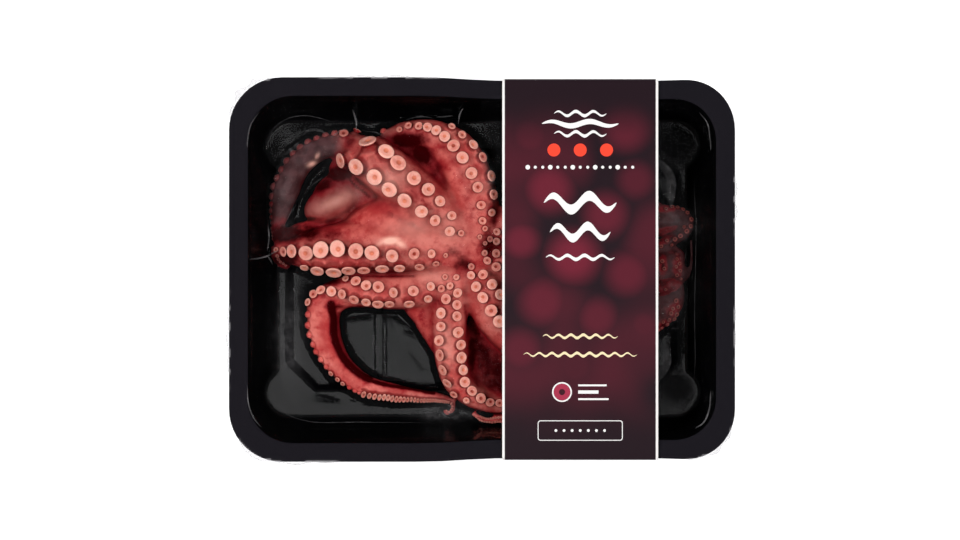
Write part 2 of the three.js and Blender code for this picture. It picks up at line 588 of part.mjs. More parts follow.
function buildSleeve() {
  const section = new THREE.Shape(sleeveSection(CARD, 1));
  section.holes.push(new THREE.Path(sleeveSection(0, 0.7)));
  const width = SLEEVE_RIGHT - SLEEVE_LEFT;
  const band = new THREE.ExtrudeGeometry(section, { depth: width, bevelEnabled: false });
  const flap = new THREE.BoxGeometry(GLUED.to - GLUED.from, 1.5 * CARD, width);
  flap.translate((GLUED.from + GLUED.to) / 2, 1.25 * CARD, width / 2);
  const turned = new THREE.Matrix4().makeBasis(
    new THREE.Vector3(0, 1, 0), new THREE.Vector3(0, 0, 1), new THREE.Vector3(1, 0, 0),
  );
  const moved = new THREE.Matrix4().makeTranslation(SLEEVE_LEFT, 0, 0).multiply(turned);
  return solidOf(band.applyMatrix4(moved)).add(solidOf(flap.applyMatrix4(moved)));
}

// ---- Assembly ----------------------------------------------------------------------------------

const materials = {
  tray: new THREE.MeshStandardMaterial({ color: 0x17151a, roughness: 0.35, metalness: 0 }),
  octopus: new THREE.MeshStandardMaterial({ color: 0xb04a44, roughness: 0.4, metalness: 0 }),
  film: new THREE.MeshStandardMaterial({ color: 0xf4f6fa, roughness: 0.1, opacity: 0.12 }),
  sleeve: new THREE.MeshStandardMaterial({ color: 0x36252d, roughness: 0.5, metalness: 0 }),
};

materials.film.transparent = true;

const pack = new THREE.Group();

function addPiece(name, solid, material) {
  const mesh = new THREE.Mesh(geometryOf(solid), material);
  mesh.name = name;
  pack.add(mesh);
  console.log(name, solid.numTri(), "triangles", (solid.volume() / 1000).toFixed(1), "cm3");
}

const tray = buildTray();
const octopus = buildOctopus();
addPiece("tray", tray, materials.tray);
addPiece("octopus", octopus, materials.octopus);
addPiece("film", buildFilm(tray, octopus), materials.film);
addPiece("sleeve", buildSleeve(), materials.sleeve);

export default pack;
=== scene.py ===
# %% [markdown]
# # A cooked octopus in its chilled pack
# The real object is a whole cooked octopus lying on its back in a black plastic tray. A clear skin film
# is sealed to the tray's flange and sucked down over the octopus, and a printed card sleeve goes round
# the middle. The solids of the four pieces come packed as a fixed frame. Here each of them gets a
# finer piece in its place: the skin and suckers, the tray with its rounded folds, the film, the card.

# %% Load the frame
import math

import bmesh
import bpy
import numpy as np
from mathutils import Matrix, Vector, kdtree
from mathutils.bvhtree import BVHTree


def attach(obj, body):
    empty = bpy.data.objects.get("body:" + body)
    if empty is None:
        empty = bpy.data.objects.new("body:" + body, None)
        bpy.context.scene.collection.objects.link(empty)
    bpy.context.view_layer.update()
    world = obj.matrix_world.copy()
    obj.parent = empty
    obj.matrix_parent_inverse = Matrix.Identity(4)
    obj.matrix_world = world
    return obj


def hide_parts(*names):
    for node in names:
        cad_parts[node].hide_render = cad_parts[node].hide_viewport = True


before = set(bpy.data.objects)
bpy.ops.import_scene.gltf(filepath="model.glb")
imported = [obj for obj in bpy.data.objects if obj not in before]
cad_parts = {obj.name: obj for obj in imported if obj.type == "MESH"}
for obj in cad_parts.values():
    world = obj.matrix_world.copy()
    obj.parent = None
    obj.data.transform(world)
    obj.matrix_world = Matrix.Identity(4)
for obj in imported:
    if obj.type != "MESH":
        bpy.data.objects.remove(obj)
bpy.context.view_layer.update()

MM = 0.001
dice = np.random.default_rng(7)
scene = bpy.context.scene
print("nodes:", sorted(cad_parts))

# %% [markdown]
# Every size below hangs on a few driving dimensions of the pack. They are in millimetres, as a maker
# would write them, and are turned into metres only where a mesh is made.

# %% Driving dimensions, in millimetres
TRAY_LENGTH = 250
TRAY_WIDTH = 190
FLANGE_WIDTH = 9.5
TRAY_DEPTH = 31.4
SHEET = 0.8
GAP = 0.3
CARD = 0.5
TRAY_BASE = 2 * CARD + GAP
FLOOR = TRAY_BASE + SHEET
FLANGE_TOP = FLOOR + TRAY_DEPTH
PANEL = FLOOR + 3
SLEEVE_LEFT = 10
SLEEVE_RIGHT = 87
print("flange at", FLANGE_TOP, "mm, raised floor at", PANEL, "mm")

# %% [markdown]
# The camera looks straight down. It stands far off with a long lens, so the deep floor and the high
# flange keep nearly the same scale, as in a catalogue picture. The frame is 960 pixels wide, and one
# pixel is 0.494 mm at the height of the flange.

# %% The camera
PIXEL = 0.494
FRAME_WIDTH, FRAME_HEIGHT = 960, 540
PACK_MIDDLE = (482, 269.5)  # the pixel that the middle of the tray falls on
CAMERA_HEIGHT = 2500

camera_data = bpy.data.cameras.new("camera")
camera_data.sensor_width = 36
camera_data.lens = camera_data.sensor_width * CAMERA_HEIGHT / (FRAME_WIDTH * PIXEL)
camera = bpy.data.objects.new("camera", camera_data)
scene.collection.objects.link(camera)
aside = ((FRAME_WIDTH / 2 - PACK_MIDDLE[0]) * PIXEL, (PACK_MIDDLE[1] - FRAME_HEIGHT / 2) * PIXEL)
camera.location = (aside[0] * MM, aside[1] * MM, (CAMERA_HEIGHT + FLANGE_TOP) * MM)
scene.camera = camera
scene.view_settings.view_transform = "Standard"
print("lens", round(camera_data.lens), "mm")

# %% [markdown]
# Black gloss is lit by what it mirrors. Two bright soft boxes to the left and right light the pink skin,
# but stand out of sight of everything glossy. What the gloss mirrors is a large dim panel overhead,
# which lays a grey sheen on all that lies flat and ends just short of the right-hand wall, and two
# narrow strips, which draw thin glints on folds and rims.

# %% Lights and floor
def soft_box(name, place, size, power, tilt=(0, 0, 0)):
    light = bpy.data.lights.new(name, "AREA")
    light.shape = "RECTANGLE"
    light.size, light.size_y = size
    light.energy = power
    box = bpy.data.objects.new(name, light)
    scene.collection.objects.link(box)
    box.location = place
    box.rotation_euler = [math.radians(a) for a in tilt]
    return box


box_left = soft_box("box_left", (-0.95, 0.1, 1.35), (0.7, 1.2), 22, (0, -35, 0))
box_right = soft_box("box_right", (0.95, 0.1, 1.35), (0.7, 1.2), 18.5, (0, 35, 0))
for box in (box_left, box_right):
    box.visible_glossy = False
soft_box("panel_above", (-0.37, -0.52, 1.5), (1.06, 1.3), 2.7)
soft_box("strip_left", (-0.9, 0.3, 1.3), (0.05, 0.9), 0.8, (0, -35, 0))
soft_box("strip_right", (0.9, 0.3, 1.3), (0.05, 0.9), 0.8, (0, 35, 0))

world = bpy.data.worlds.new("studio")
world.use_nodes = True
sky = world.node_tree.nodes["Background"].inputs
sky["Color"].default_value = (0.9, 0.95, 1, 1)
sky["Strength"].default_value = 0.03
scene.world = world

# %% [markdown]
# Materials are built from nodes by a few small helpers. The first makes the material and its shader,
# the next adds a node and joins its inputs to values or to other nodes, and on these stand the ones
# that mix two colours, read a stored number, or make noise and bumps.

# %% Helpers for materials
class Paint:
    """A material under construction: adds nodes and joins them."""

    def __init__(self, name):
        self.material = bpy.data.materials.new(name)
        self.material.use_nodes = True
        self.tree = self.material.node_tree
        self.shader = self.tree.nodes["Principled BSDF"]
        self.output = self.tree.nodes["Material Output"]

    def add(self, kind, settings=None, **inputs):
        node = self.tree.nodes.new(kind)
        for key, value in (settings or {}).items():
            setattr(node, key, value)
        for key, value in inputs.items():
            self.join(value, node.inputs[int(key[1:])] if key[1:].isdigit() else node.inputs[key])
        return node

    def join(self, value, socket):
        if isinstance(value, bpy.types.Node):
            value = value.outputs[0]
        if isinstance(value, bpy.types.NodeSocket):
            self.tree.links.new(value, socket)
        else:
            socket.default_value = value

    def set(self, **values):
        for key, value in values.items():
            self.join(value, self.shader.inputs[key.replace("_", " ")])
        return self

    def maths(self, operation, a, b=0.5, clamp=False):
        return self.add("ShaderNodeMath", {"operation": operation, "use_clamp": clamp}, i0=a, i1=b)

    def ramp(self, value, low, high):
        settings = {"interpolation_type": "SMOOTHSTEP"}
        return self.add("ShaderNodeMapRange", settings, i0=value, i1=low, i2=high)

    def between(self, share, first, second):
        """The number that a share from 0 to 1 gives between two others."""
        return self.add("ShaderNodeMapRange", i0=share, i3=first, i4=second)

    def blend(self, share, first, second):
        node = self.add("ShaderNodeMix", {"data_type": "RGBA"})
        for value, socket in ((share, 0), (first, 6), (second, 7)):
            self.join(value, node.inputs[socket])
        return node.outputs[2]

    def lay_over(self, colour, share, strength, layer):
        """A screen colour over another one, as thick as the share times the strength says."""
        return self.blend(self.maths("MULTIPLY", share, strength), colour, rgb(*layer))

    def place(self):
        return self.add("ShaderNodeTexCoord").outputs["Object"]

    def noise(self, size, detail=3, roughness=0.5, stretch=(1, 1, 1)):
        scaled = self.add("ShaderNodeMapping", i0=self.place(), Scale=stretch)
        settings = {"Scale": 1 / (size * MM), "Detail": detail, "Roughness": roughness}
        return self.add("ShaderNodeTexNoise", i0=scaled, **settings).outputs[0]

    def attribute(self, name):
        return self.add("ShaderNodeAttribute", {"attribute_name": name}).outputs["Fac"]

    def ramp_of(self, name, low, high):
        return self.ramp(self.attribute(name), low, high)

    def relief(self, height, strength, distance):
        return self.add("ShaderNodeBump", Height=height, Strength=strength, Distance=distance * MM)

    def bump(self, height, strength, distance):
        self.join(self.relief(height, strength, distance), self.shader.inputs["Normal"])


def rgb(red, green, blue):
    """A screen colour, 0 to 255, as the linear light that a shader wants."""
    def linear(value):
        value /= 255
        return value / 12.92 if value <= 0.04045 else ((value + 0.055) / 1.055) ** 2.4
    return (linear(red), linear(green), linear(blue), 1)


# %% The floor that the pack lies on
def deselect_all():
    for other in bpy.context.selected_objects:
        other.select_set(False)


def add_new(operator, **settings):
    """Adds a new object with nothing else selected, as by hand, and returns it."""
    deselect_all()
    operator(**settings)
    return bpy.context.object


floor = add_new(bpy.ops.mesh.primitive_plane_add, size=6)
floor.name = "floor"
table_top = Paint("pale_table")
table_top.set(Base_Color=(0.86, 0.86, 0.87, 1), Roughness=0.7)
table_top.set(Emission_Color=(1, 1, 1, 1), Emission_Strength=0.6)
floor.data.materials.append(table_top.material)

# %% [markdown]
# Helpers for meshes: they make an object from points and faces, apply a modifier or a placing, join
# pieces into one, turn faces outwards, read and move points, and store a number at every point, which
# a material can read as an attribute.

# %% Helpers for meshes
def make_piece(name, points, faces):
    mesh = bpy.data.meshes.new(name)
    mesh.from_pydata([tuple(p) for p in points], [], [tuple(f) for f in faces])
    mesh.validate()
    piece = bpy.data.objects.new(name, mesh)
    scene.collection.objects.link(piece)
    return piece


def make_active(piece, *others):
    """Makes a piece the active one, and selects it alone or with some others."""
    deselect_all()
    for selected in (piece, *others):
        selected.select_set(True)
    bpy.context.view_layer.objects.active = piece


def apply_modifier(piece, kind, **settings):
    make_active(piece)
    modifier = piece.modifiers.new(kind.lower(), kind)
    for key, value in settings.items():
        setattr(modifier, key, value)
    bpy.ops.object.modifier_apply(modifier=modifier.name)


def apply_place():
    bpy.ops.object.transform_apply(location=True, rotation=True, scale=True)


def add_box(middle, size):
    box = add_new(bpy.ops.mesh.primitive_cube_add, size=1, location=[m * MM for m in middle])
    box.scale = [s * MM for s in size]
    apply_place()
    return box


def join_pieces(piece, *others):
    make_active(piece, *others)
    bpy.ops.object.join()


def shade_smooth(piece):
    make_active(piece)
    bpy.ops.object.shade_smooth()


def leave_edit_mode():
    """Turns all faces outwards and goes back to object mode."""
    bpy.ops.mesh.select_all(action="SELECT")
    bpy.ops.mesh.normals_make_consistent(inside=False)
    bpy.ops.object.mode_set(mode="OBJECT")


def top_outwards(piece, rank=max):
    """Flips an open shell whose highest face, or lowest with min, looks down."""
    if rank(piece.data.polygons, key=lambda face: face.center.z).normal.z < 0:
        piece.data.flip_normals()


def store(piece, name, values):
    layer = piece.data.attributes.new(name, "FLOAT", "POINT")
    layer.data.foreach_set("value", np.asarray(values, np.float32))


def read_vertices(piece, what):
    flat = np.zeros(len(piece.data.vertices) * 3, np.float32)
    piece.data.vertices.foreach_get(what, flat)
    return flat.reshape(-1, 3).astype(float)


def points_of(piece):
    return read_vertices(piece, "co")


def move_points(piece, points):
    piece.data.vertices.foreach_set("co", np.asarray(points, np.float32).ravel())
    piece.data.update()


def box_of(piece):
    """The lowest and highest X, Y and Z of a piece, in mm, rounded."""
    points = points_of(piece) / MM
    return points.min(0).round(1), points.max(0).round(1)


# %% [markdown]
# ## The tray
# A thermoformed tray is one warm sheet pulled over a mould, so all its folds are round and its wall is
# one thickness. A circle is given the outline of the flange and extruded inwards ring by ring: over
# the flange, down the steep wall, round the sloping foot, over the flat ring with its four round
# corner pads, and up onto the raised eight-sided floor. Solidify then gives the sheet its wall.

# %% The outline of one ring of the tray
FLANGE_CORNER = 26
CORNER_STEPS = 12
SIDE_POINTS = 14  # points along each long side, between the corners
PINCH = 1.7  # how far the tight sleeve draws the flange's long sides in
PINCH_FADE = 40  # how far left of the sleeve that is still felt


def smooth_step(low, high, values):
    share = np.clip((np.asarray(values, float) - low) / (high - low), 0, 1)
    return share * share * (3 - 2 * share)


def pinch_at(x):
    """How far the sleeve draws the flange in at X: fully under the card, fading out past its edges."""
    from_left = smooth_step(SLEEVE_LEFT - PINCH_FADE, SLEEVE_LEFT, x)
    return PINCH * from_left * (1 - smooth_step(SLEEVE_RIGHT, TRAY_LENGTH / 2, x))


def outline(half_x, half_y, z, corner, cut=False, dip=0, pinched=False):
    """One ring, anticlockwise. A corner is round, or cut straight across. With a dip its arc starts
    that many degrees further down, so that the corner bulges past the short side."""
    points = []
    for quarter in range(4):
        sign_x = 1 if quarter in (0, 3) else -1
        sign_y = 1 if quarter < 2 else -1
        for step in range(CORNER_STEPS + 1):
            share = (CORNER_STEPS - step if quarter % 2 else step) / CORNER_STEPS
            angle = math.radians((90 + dip) * share - dip)
            along_x = 1 - share if cut else math.cos(angle)
            along_y = share if cut else math.sin(angle)
            x = sign_x * (half_x - corner + corner * along_x)
            points.append((x, sign_y * (half_y - corner + corner * along_y), z))
        if quarter % 2 == 0:
            start, y, z = points[-1]
            shares = np.arange(1, SIDE_POINTS + 1) / (SIDE_POINTS + 1)
            points += [(start * (1 - 2 * share), y, z) for share in shares]
    ring = np.array(points)
    if pinched:
        ring[:, 1] -= np.sign(ring[:, 1]) * pinch_at(ring[:, 0])
    return ring


TRAY_RINGS = [
    outline(TRAY_LENGTH / 2, TRAY_WIDTH / 2, FLANGE_TOP, FLANGE_CORNER, pinched=True),
    outline(TRAY_LENGTH / 2 - FLANGE_WIDTH, TRAY_WIDTH / 2 - FLANGE_WIDTH, FLANGE_TOP, 22, pinched=True),
    outline(113, 79, FLOOR + 8, 21, dip=45),
    outline(110, 75, FLOOR, 13, dip=60),
    outline(97, 60, FLOOR, 14, cut=True),
    outline(94, 57, PANEL, 13, cut=True),
]
FOLD_ROUNDING = [0, 1.6, 1.5, 1.4, 0.7, 0.7]  # radius of the fold at each ring
print("rings of", len(TRAY_RINGS[0]), "points")

# %% Round the folds
CURVE_SHARE = 0.42  # the most that a fold's curve takes of the way to the next ring
SHADING_SHARE = 0.48
SHADING_REACH = 1.15  # where the ring that holds the shading stands, against the fold's radius


def towards(here, other, reach, most):
    """The ring moved some way towards another one, but never further than a share of the way."""
    far = np.linalg.norm(other - here, axis=1, keepdims=True)
    return here + (other - here) * np.minimum(reach / far, most)


def rounded_rings(rings, rounding, steps=5):
    """The rings with each fold between them replaced by a few rings along a curve. One more ring at
    each end of a curve keeps its shading off the flat stretches."""
    result = [rings[0]]
    for before, here, after, radius in zip(rings, rings[1:], rings[2:], rounding[1:]):
        start, end = (towards(here, other, radius, CURVE_SHARE) for other in (before, after))
        result.append(towards(here, before, SHADING_REACH * radius, SHADING_SHARE))
        for t in np.linspace(0, 1, steps):
            result.append((1 - t) ** 2 * start + 2 * t * (1 - t) * here + t ** 2 * end)
        result.append(towards(here, after, SHADING_REACH * radius, SHADING_SHARE))
    return [*result, rings[-1] * [0.99, 0.99, 1], rings[-1] * [0.97, 0.97, 1]]


def move_ring(tray, ring, onto):
    """Moves the selected points, which lie on one ring, onto the same places of the next ring."""
    edit = bmesh.from_edit_mesh(tray.data)
    for vertex in (v for v in edit.verts if v.select):
        index = np.argmin(np.linalg.norm(ring * MM - np.array(vertex.co), axis=1))
        vertex.co = Vector(onto[index] * MM)
    bmesh.update_edit_mesh(tray.data)


def build_tray():
    rings = rounded_rings(TRAY_RINGS, FOLD_ROUNDING)
    operator = bpy.ops.mesh.primitive_circle_add
    tray = add_new(operator, vertices=len(rings[0]), radius=1, fill_type="NOTHING")
    tray.name = "tray_shell"
    for vertex, point in zip(tray.data.vertices, rings[0]):
        vertex.co = point * MM
    bpy.ops.object.mode_set(mode="EDIT")
    bpy.ops.mesh.select_all(action="SELECT")
    for ring, onto in zip(rings, rings[1:]):
        bpy.ops.mesh.extrude_region_move()
        move_ring(tray, ring, onto)
    bpy.ops.mesh.edge_face_add()
    leave_edit_mode()
    top_outwards(tray, min)
    return tray


tray = build_tray()
print("tray surface", len(tray.data.polygons), "faces")

# %% The ribs pressed into the floor, and the wall of the sheet
RIB_WIDTH, RIB_HEIGHT, RIB_LENGTH, RIB_OFFSET = 2.6, 0.8, 108, 51
RIB_SINK = 0.4  # how deep the ribs reach into the sheet
ribs = []
for side in (-1, 1):
    middle = (side * RIB_OFFSET, 0, PANEL + RIB_HEIGHT / 2 - RIB_SINK / 2)
    rib = add_box(middle, (RIB_WIDTH, RIB_LENGTH, RIB_HEIGHT + RIB_SINK))
    apply_modifier(rib, "BEVEL", width=0.35 * MM, segments=3, limit_method="NONE")
    ribs.append(rib)

apply_modifier(tray, "SOLIDIFY", thickness=SHEET * MM, offset=-1)
join_pieces(tray, *ribs)
bpy.ops.object.shade_smooth_by_angle(angle=math.radians(40))
print("tray box", *box_of(tray))

# %% [markdown]
# The tray's plastic is black and glossy inside. On the flange the film is sealed on, which leaves an
# even, dull, slightly violet black. One material does both: it turns from gloss to dull at the height
# of the flange. Faint waviness in the bump keeps the reflections from being perfectly straight.

# %% The tray's plastic
plastic = Paint("black_plastic")
height = plastic.add("ShaderNodeSeparateXYZ", i0=plastic.place())
on_flange = plastic.ramp(height.outputs[2], (FLANGE_TOP - 0.5) * MM, (FLANGE_TOP - 0.2) * MM)
plastic.set(
    Base_Color=plastic.blend(on_flange, rgb(4, 4, 5), rgb(26, 24, 29)),
    Roughness=plastic.between(on_flange, 0.13, 0.6),
    Specular_IOR_Level=plastic.between(on_flange, 0.06, 0.12))
plastic.bump(plastic.noise(9, detail=2), 0.25, 0.12)
tray.data.materials.append(plastic.material)

# %% [markdown]
# ## The octopus
# Cooking curls the eight arms and firms them up. Each arm is told as a row of stations: where its
# middle runs, how high it lies, how thick it is, and to which side its suckers look. A smooth curve
# goes through the stations, and everything that follows asks that curve where the arm is.

# %% The arms: X, Y, height, half width, turn of the sucker side in degrees, and how dark the skin is
ARM_FLATNESS = 0.82
ARMS = {
    "upper_left": [
        (-4, 10, 16, 11, 0, 0.1), (-16, 22.5, 18.4, 11.3, 0, 0), (-29, 34, 19.4, 12.2, 0, 0),
        (-43.5, 45.7, 20, 12.6, 0, 0), (-54, 54, 18.8, 12.4, 0, 0), (-60.3, 57.3, 15.6, 10.4, -10, 0.1),
        (-66.5, 61.5, 11.4, 6.8, -70, 0.5), (-76, 61.3, 10.2, 5.6, -105, 0.9),
        (-84.5, 57.6, 10, 5.7, -108, 0.95), (-92, 50.5, 10, 5.9, -108, 1),
        (-97.3, 39.5, 9.8, 6.4, -108, 1), (-100, 29.5, 9.4, 4.9, -108, 1), (-102, 22, 9, 3.3, -105, 1),
        (-103, 14, 8.6, 2, -100, 1),
    ],
    "left": [
        (-4, 9, 16, 11, 22, 0), (-18, 10, 18, 12.4, 27, 0), (-31, 11.5, 18.6, 12.6, 30, 0),
        (-48, 12, 18.8, 13.2, 31, 0), (-66, 11.2, 18, 12.8, 31, 0), (-79, 9.9, 16.4, 11.4, 31, 0.05),
        (-88, 9.4, 14.2, 9.2, 31, 0.1), (-95.5, 9.4, 12, 6.8, 31, 0.3), (-101.5, 9.6, 10, 4.2, 31, 0.5),
        (-101.5, 5, 8.6, 2.8, 31, 1), (-96, 1, 8, 2, 31, 1),
    ],
    "lower_left": [
        (-4, 7, 14, 10, 20, 0.1), (-15, -1.5, 15, 9.8, 24, 0), (-28, -9, 15.5, 9.4, 24, 0),
        (-43, -11, 15.5, 8.9, 24, 0), (-58, -10.2, 15, 8.6, 14, 0), (-70, -12, 13.4, 7.8, -25, 0.1),
        (-77.8, -17.2, 12.8, 8.6, -85, 0), (-78.8, -27.5, 12.4, 8, -90, 0),
        (-75.6, -39.7, 12, 7.2, -90, 0), (-68.1, -50.6, 11, 6, -80, 0), (-57, -57.9, 10.2, 5, -50, 0.15),
        (-45, -60.9, 9.4, 4.2, -42, 0.35), (-32, -62.9, 8.8, 3.3, -38, 0.4),
        (-21, -64, 8, 2.5, -35, 0.5), (-14.2, -66.4, 7.6, 1.7, -35, 0.5),
        (-14.6, -70.2, 7, 1.4, -35, 0.5), (-17, -71.9, 6.8, 1.3, -35, 0.5),
        (-19.3, -69.8, 6.8, 1, -35, 0.5),
    ],
    "lower": [
        (-4, 7, 14, 10, 0, 0.1), (-11.5, -8, 15.2, 9.4, 0, 0), (-16, -21, 15.8, 9.2, 0, 0),
        (-16.2, -35, 15.4, 8.6, -5, 0), (-15, -47, 14.4, 7.8, -10, 0.05),
        (-11.8, -56, 12.8, 7.2, -10, 0.1), (-4.5, -62.5, 11.2, 6.4, 0, 0.1), (7, -66.5, 10, 5.4, 0, 0.3),
        (18, -66, 9.4, 4.2, 0, 0.4), (24, -69, 8.8, 3.2, 0, 0.4), (20, -73.2, 8.4, 2.5, 0, 0.4),
        (9, -74.8, 8.6, 2, 0, 0.3), (1, -75, 8.4, 1.7, 0, 0.3), (-5, -71.4, 8, 1.3, 0, 0.3),
    ],
    "lower_right": [
        (-4, 7, 14, 10, 0, 0.1), (-1.5, -2, 15.6, 10, 0, 0), (2.2, -11, 16.6, 12, 0, 0),
        (7.5, -19.5, 17, 13, 0, 0), (17, -31, 16.6, 12.4, 0, 0.1), (30, -39.5, 15.6, 11, 0, 0.1),
        (44, -42, 14.4, 10, 0, 0.2), (57, -39.5, 13.2, 9.6, 0, 0.3), (71, -33, 12, 9.4, 0, 0.5),
        (83, -23.5, 11, 9.2, -30, 0.8), (91, -19, 10, 8.2, -50, 0.9), (96, -15.6, 9.2, 5.4, -60, 1),
        (99, -11, 8.4, 2.6, -60, 1), (99.3, -8.4, 8.2, 1.7, -60, 1), (95, -8, 8.4, 1.6, -60, 1),
        (89.5, -9.2, 8.6, 1.4, -60, 1),
    ],
    "right": [
        (1, 8, 14, 10, 0, 0.1), (16, 3.5, 16.6, 11, 0, 0), (36, -2, 17.6, 12, 0, 0),
        (58, -3, 16, 11, 0, 0.3), (77, 0, 13.4, 9.6, 0, 0.7), (89, 1.5, 11.2, 8, -20, 0.9),
        (95, 1.2, 10.4, 7.2, -60, 1), (98.8, -2, 9.2, 3.8, -60, 1), (101, -5, 8.6, 1.8, -70, 1),
        (103.2, -2, 8.4, 1.3, -70, 1), (104.6, 4, 8.2, 1.1, -70, 1), (104.8, 10, 8.2, 1, -70, 1),
        (104, 15.5, 8.4, 0.9, -70, 1),
    ],
    "upper_right": [
        (0, 11.5, 14, 10, 0, 0.1), (13, 20.5, 16.6, 11, 0, 0), (29, 28.5, 17.2, 12, 0, 0.1),
        (48, 32.5, 16, 11, 10, 0.3), (68, 31.5, 13.6, 9.4, 30, 0.7), (83, 27.5, 11.8, 7.2, 60, 0.9),
        (92, 26.9, 10.6, 5.4, 75, 1), (99, 26.5, 10, 4.7, 70, 1), (102.5, 23, 10, 3.8, 30, 1),
        (100.6, 18.6, 10.8, 3.4, 0, 1), (95, 15.2, 11.4, 3.2, 0, 1), (88.5, 12.2, 12, 3, 0, 1),
        (80, 10.2, 12.2, 2.4, 0, 1), (72, 9, 12.2, 1.8, 0, 1),
    ],
    "upper": [
        (-3, 11.5, 15, 10.4, -25, 0.2), (-1.8, 23.5, 17.6, 11, -34, 0.1),
        (-4, 35.5, 18.2, 12, -36, 0.05), (-7.5, 47.5, 18.2, 12, -36, 0.05),
        (-13.5, 58.5, 17.2, 11.2, -36, 0.1), (-23.5, 65.5, 15.4, 9, -38, 0.15),
        (-35, 67.3, 13, 7, -40, 0.4), (-44.5, 65.5, 10.4, 5.4, -45, 0.6), (-50, 58.5, 8.4, 4, -45, 0.8),
        (-51, 49, 8, 2.8, -45, 0.9),
    ],
}

# The soft body under the arms and the webs between them: middle, half sizes, turn about Z, how brown
# and how deep red the skin is, the deep red being painted shade between the parts, with the juice's red.
BODY = {
    "mouth_ring": ((-8, 10, 13), (24, 21, 11.5), 0, 0, 0.5),
    "head": ((-74.5, 34, 12.5), (15.5, 9, 8.5), 30, 0.6, 0.1),
    "head_back": ((-71, 41, 9.5), (15, 8.5, 7.5), 30, 0.9, 0.5),
    "head_fold": ((-59, 42, 10), (20, 12.5, 8.5), -38, 0.7, 0.6),
    "web_left": ((-38, 23, 15), (34, 17, 13), 14, 0.05, 0.1),
    "flank_left": ((-83, 16.5, 9.5), (20, 8.5, 5.5), 8, 0, 0.6),
    "web_upper": ((-24, 46, 11.5), (27, 10, 8), 131, 0.3, 0.9),
    "web_lower_left": ((-20.5, -28.5, 11), (31, 10.5, 6.5), -58, 0, 0.5),
    "web_loop": ((-31, -19, 11), (15, 7, 6), -50, 0, 0.4),
    "web_lower": ((9, -39, 8.5), (19, 29, 6), 0, 0, 1),
    "web_right": ((30, 13, 12), (26, 14, 7), 8, 0.3, 0.8),
    "seam_head": ((-68, 25.5, 9), (8, 4, 6), 20, 0.2, 0.4),
    "seam_left": ((-47, -3.2, 8), (22, 3, 4), 0, 0.1, 0.9),
    "end_upper": ((92, 20, 7.6), (9, 4.5, 3.6), 0, 0.9, 0.8),
    "end_middle": ((95, 6, 8.6), (6.5, 5.5, 4.6), 0, 1, 0.2),
    "end_lower": ((91, -8, 7.4), (9, 4, 3.6), 0, 1, 0.8),
}
print(len(ARMS), "arms,", len(BODY), "parts of the body")

# %% [markdown]
# The curve through the stations is a centripetal Catmull-Rom curve, which passes through every station
# and never loops between two of them. It is sampled finely once, and later questions are answered by
# looking up the distance along the arm.

# %% A smooth curve through the stations
SAMPLES_PER_STATION = 24


def curve_points(places):
    """Points of the centripetal Catmull-Rom curve through the places, and their share of the row."""
    before = 2 * places[0] - places[1]
    after = 2 * places[-1] - places[-2]
    row = np.vstack([before, places, after])
    found, shares = [], []
    for i in range(1, len(row) - 2):
        p0, p1, p2, p3 = row[i - 1:i + 3]
        d0, d1, d2 = (math.sqrt(max(np.linalg.norm(b - a), 1e-4)) for a, b in ((p0, p1), (p1, p2), (p2, p3)))
        m1 = ((p1 - p0) / d0 - (p2 - p0) / (d0 + d1) + (p2 - p1) / d1) * d1
        m2 = ((p2 - p1) / d1 - (p3 - p1) / (d1 + d2) + (p3 - p2) / d2) * d1
        last = i == len(row) - 3
        for t in np.linspace(0, 1, SAMPLES_PER_STATION + 1)[:None if last else -1]:
            found.append(
                (2 * t**3 - 3 * t**2 + 1) * p1 + (t**3 - 2 * t**2 + t) * m1
                + (3 * t**2 - 2 * t**3) * p2 + (t**3 - t**2) * m2)
            shares.append(i - 1 + t)
    return np.array(found), np.array(shares)


class Arm:
    """Answers where an arm is, and how it lies, at any distance along it. All in millimetres."""

    def __init__(self, name, stations):
        self.name = name
        table = np.array(stations, float)
        self.points, shares = curve_points(table[:, :3])
        steps = np.linalg.norm(np.diff(self.points, axis=0), axis=1)
        self.along = np.concatenate([[0], np.cumsum(steps)])
        self.length = self.along[-1]
        first = np.minimum(shares.astype(int), len(table) - 2)
        rest = shares - first
        rest = 0.5 * rest + 0.5 * rest * rest * (3 - 2 * rest)
        self.half, self.turn, self.dark = (
            table[first, k] * (1 - rest) + table[first + 1, k] * rest for k in (3, 4, 5))
        forward = np.gradient(self.points, self.along, axis=0)
        forward /= np.linalg.norm(forward, axis=1, keepdims=True)
        self.forward = forward
        left = np.cross([0, 0, 1], forward)
        self.left = left / np.linalg.norm(left, axis=1, keepdims=True)
        self.up = np.cross(forward, self.left)

    def read(self, values, distance):
        if values.ndim == 1:
            return np.interp(distance, self.along, values)
        return np.array([np.interp(distance, self.along, column) for column in values.T])

    def skin(self, distance, degrees):
        """The point of the skin at an angle from straight up, positive to the left, and its normal."""
        half = self.read(self.half, distance)
        left, up = self.read(self.left, distance), self.read(self.up, distance)
        sine, cosine = math.sin(math.radians(degrees)), math.cos(math.radians(degrees))
        high = half * ARM_FLATNESS
        point = self.read(self.points, distance) + left * sine * half + up * cosine * high
        normal = left * sine / half + up * cosine / high
        return point, normal / np.linalg.norm(normal)


arms = [Arm(name, stations) for name, stations in ARMS.items()]
for arm in arms:
    print(arm.name, round(arm.length), "mm long")

# %% [markdown]
# The suckers stand in two rows, set alternately. They grow over the first part of the arm and shrink
# with it to the tip. Where the arms lie open each sucker has its own place and size. Under the sleeve
# and towards the tips they follow a rule: so wide and so far apart for an arm of that thickness.

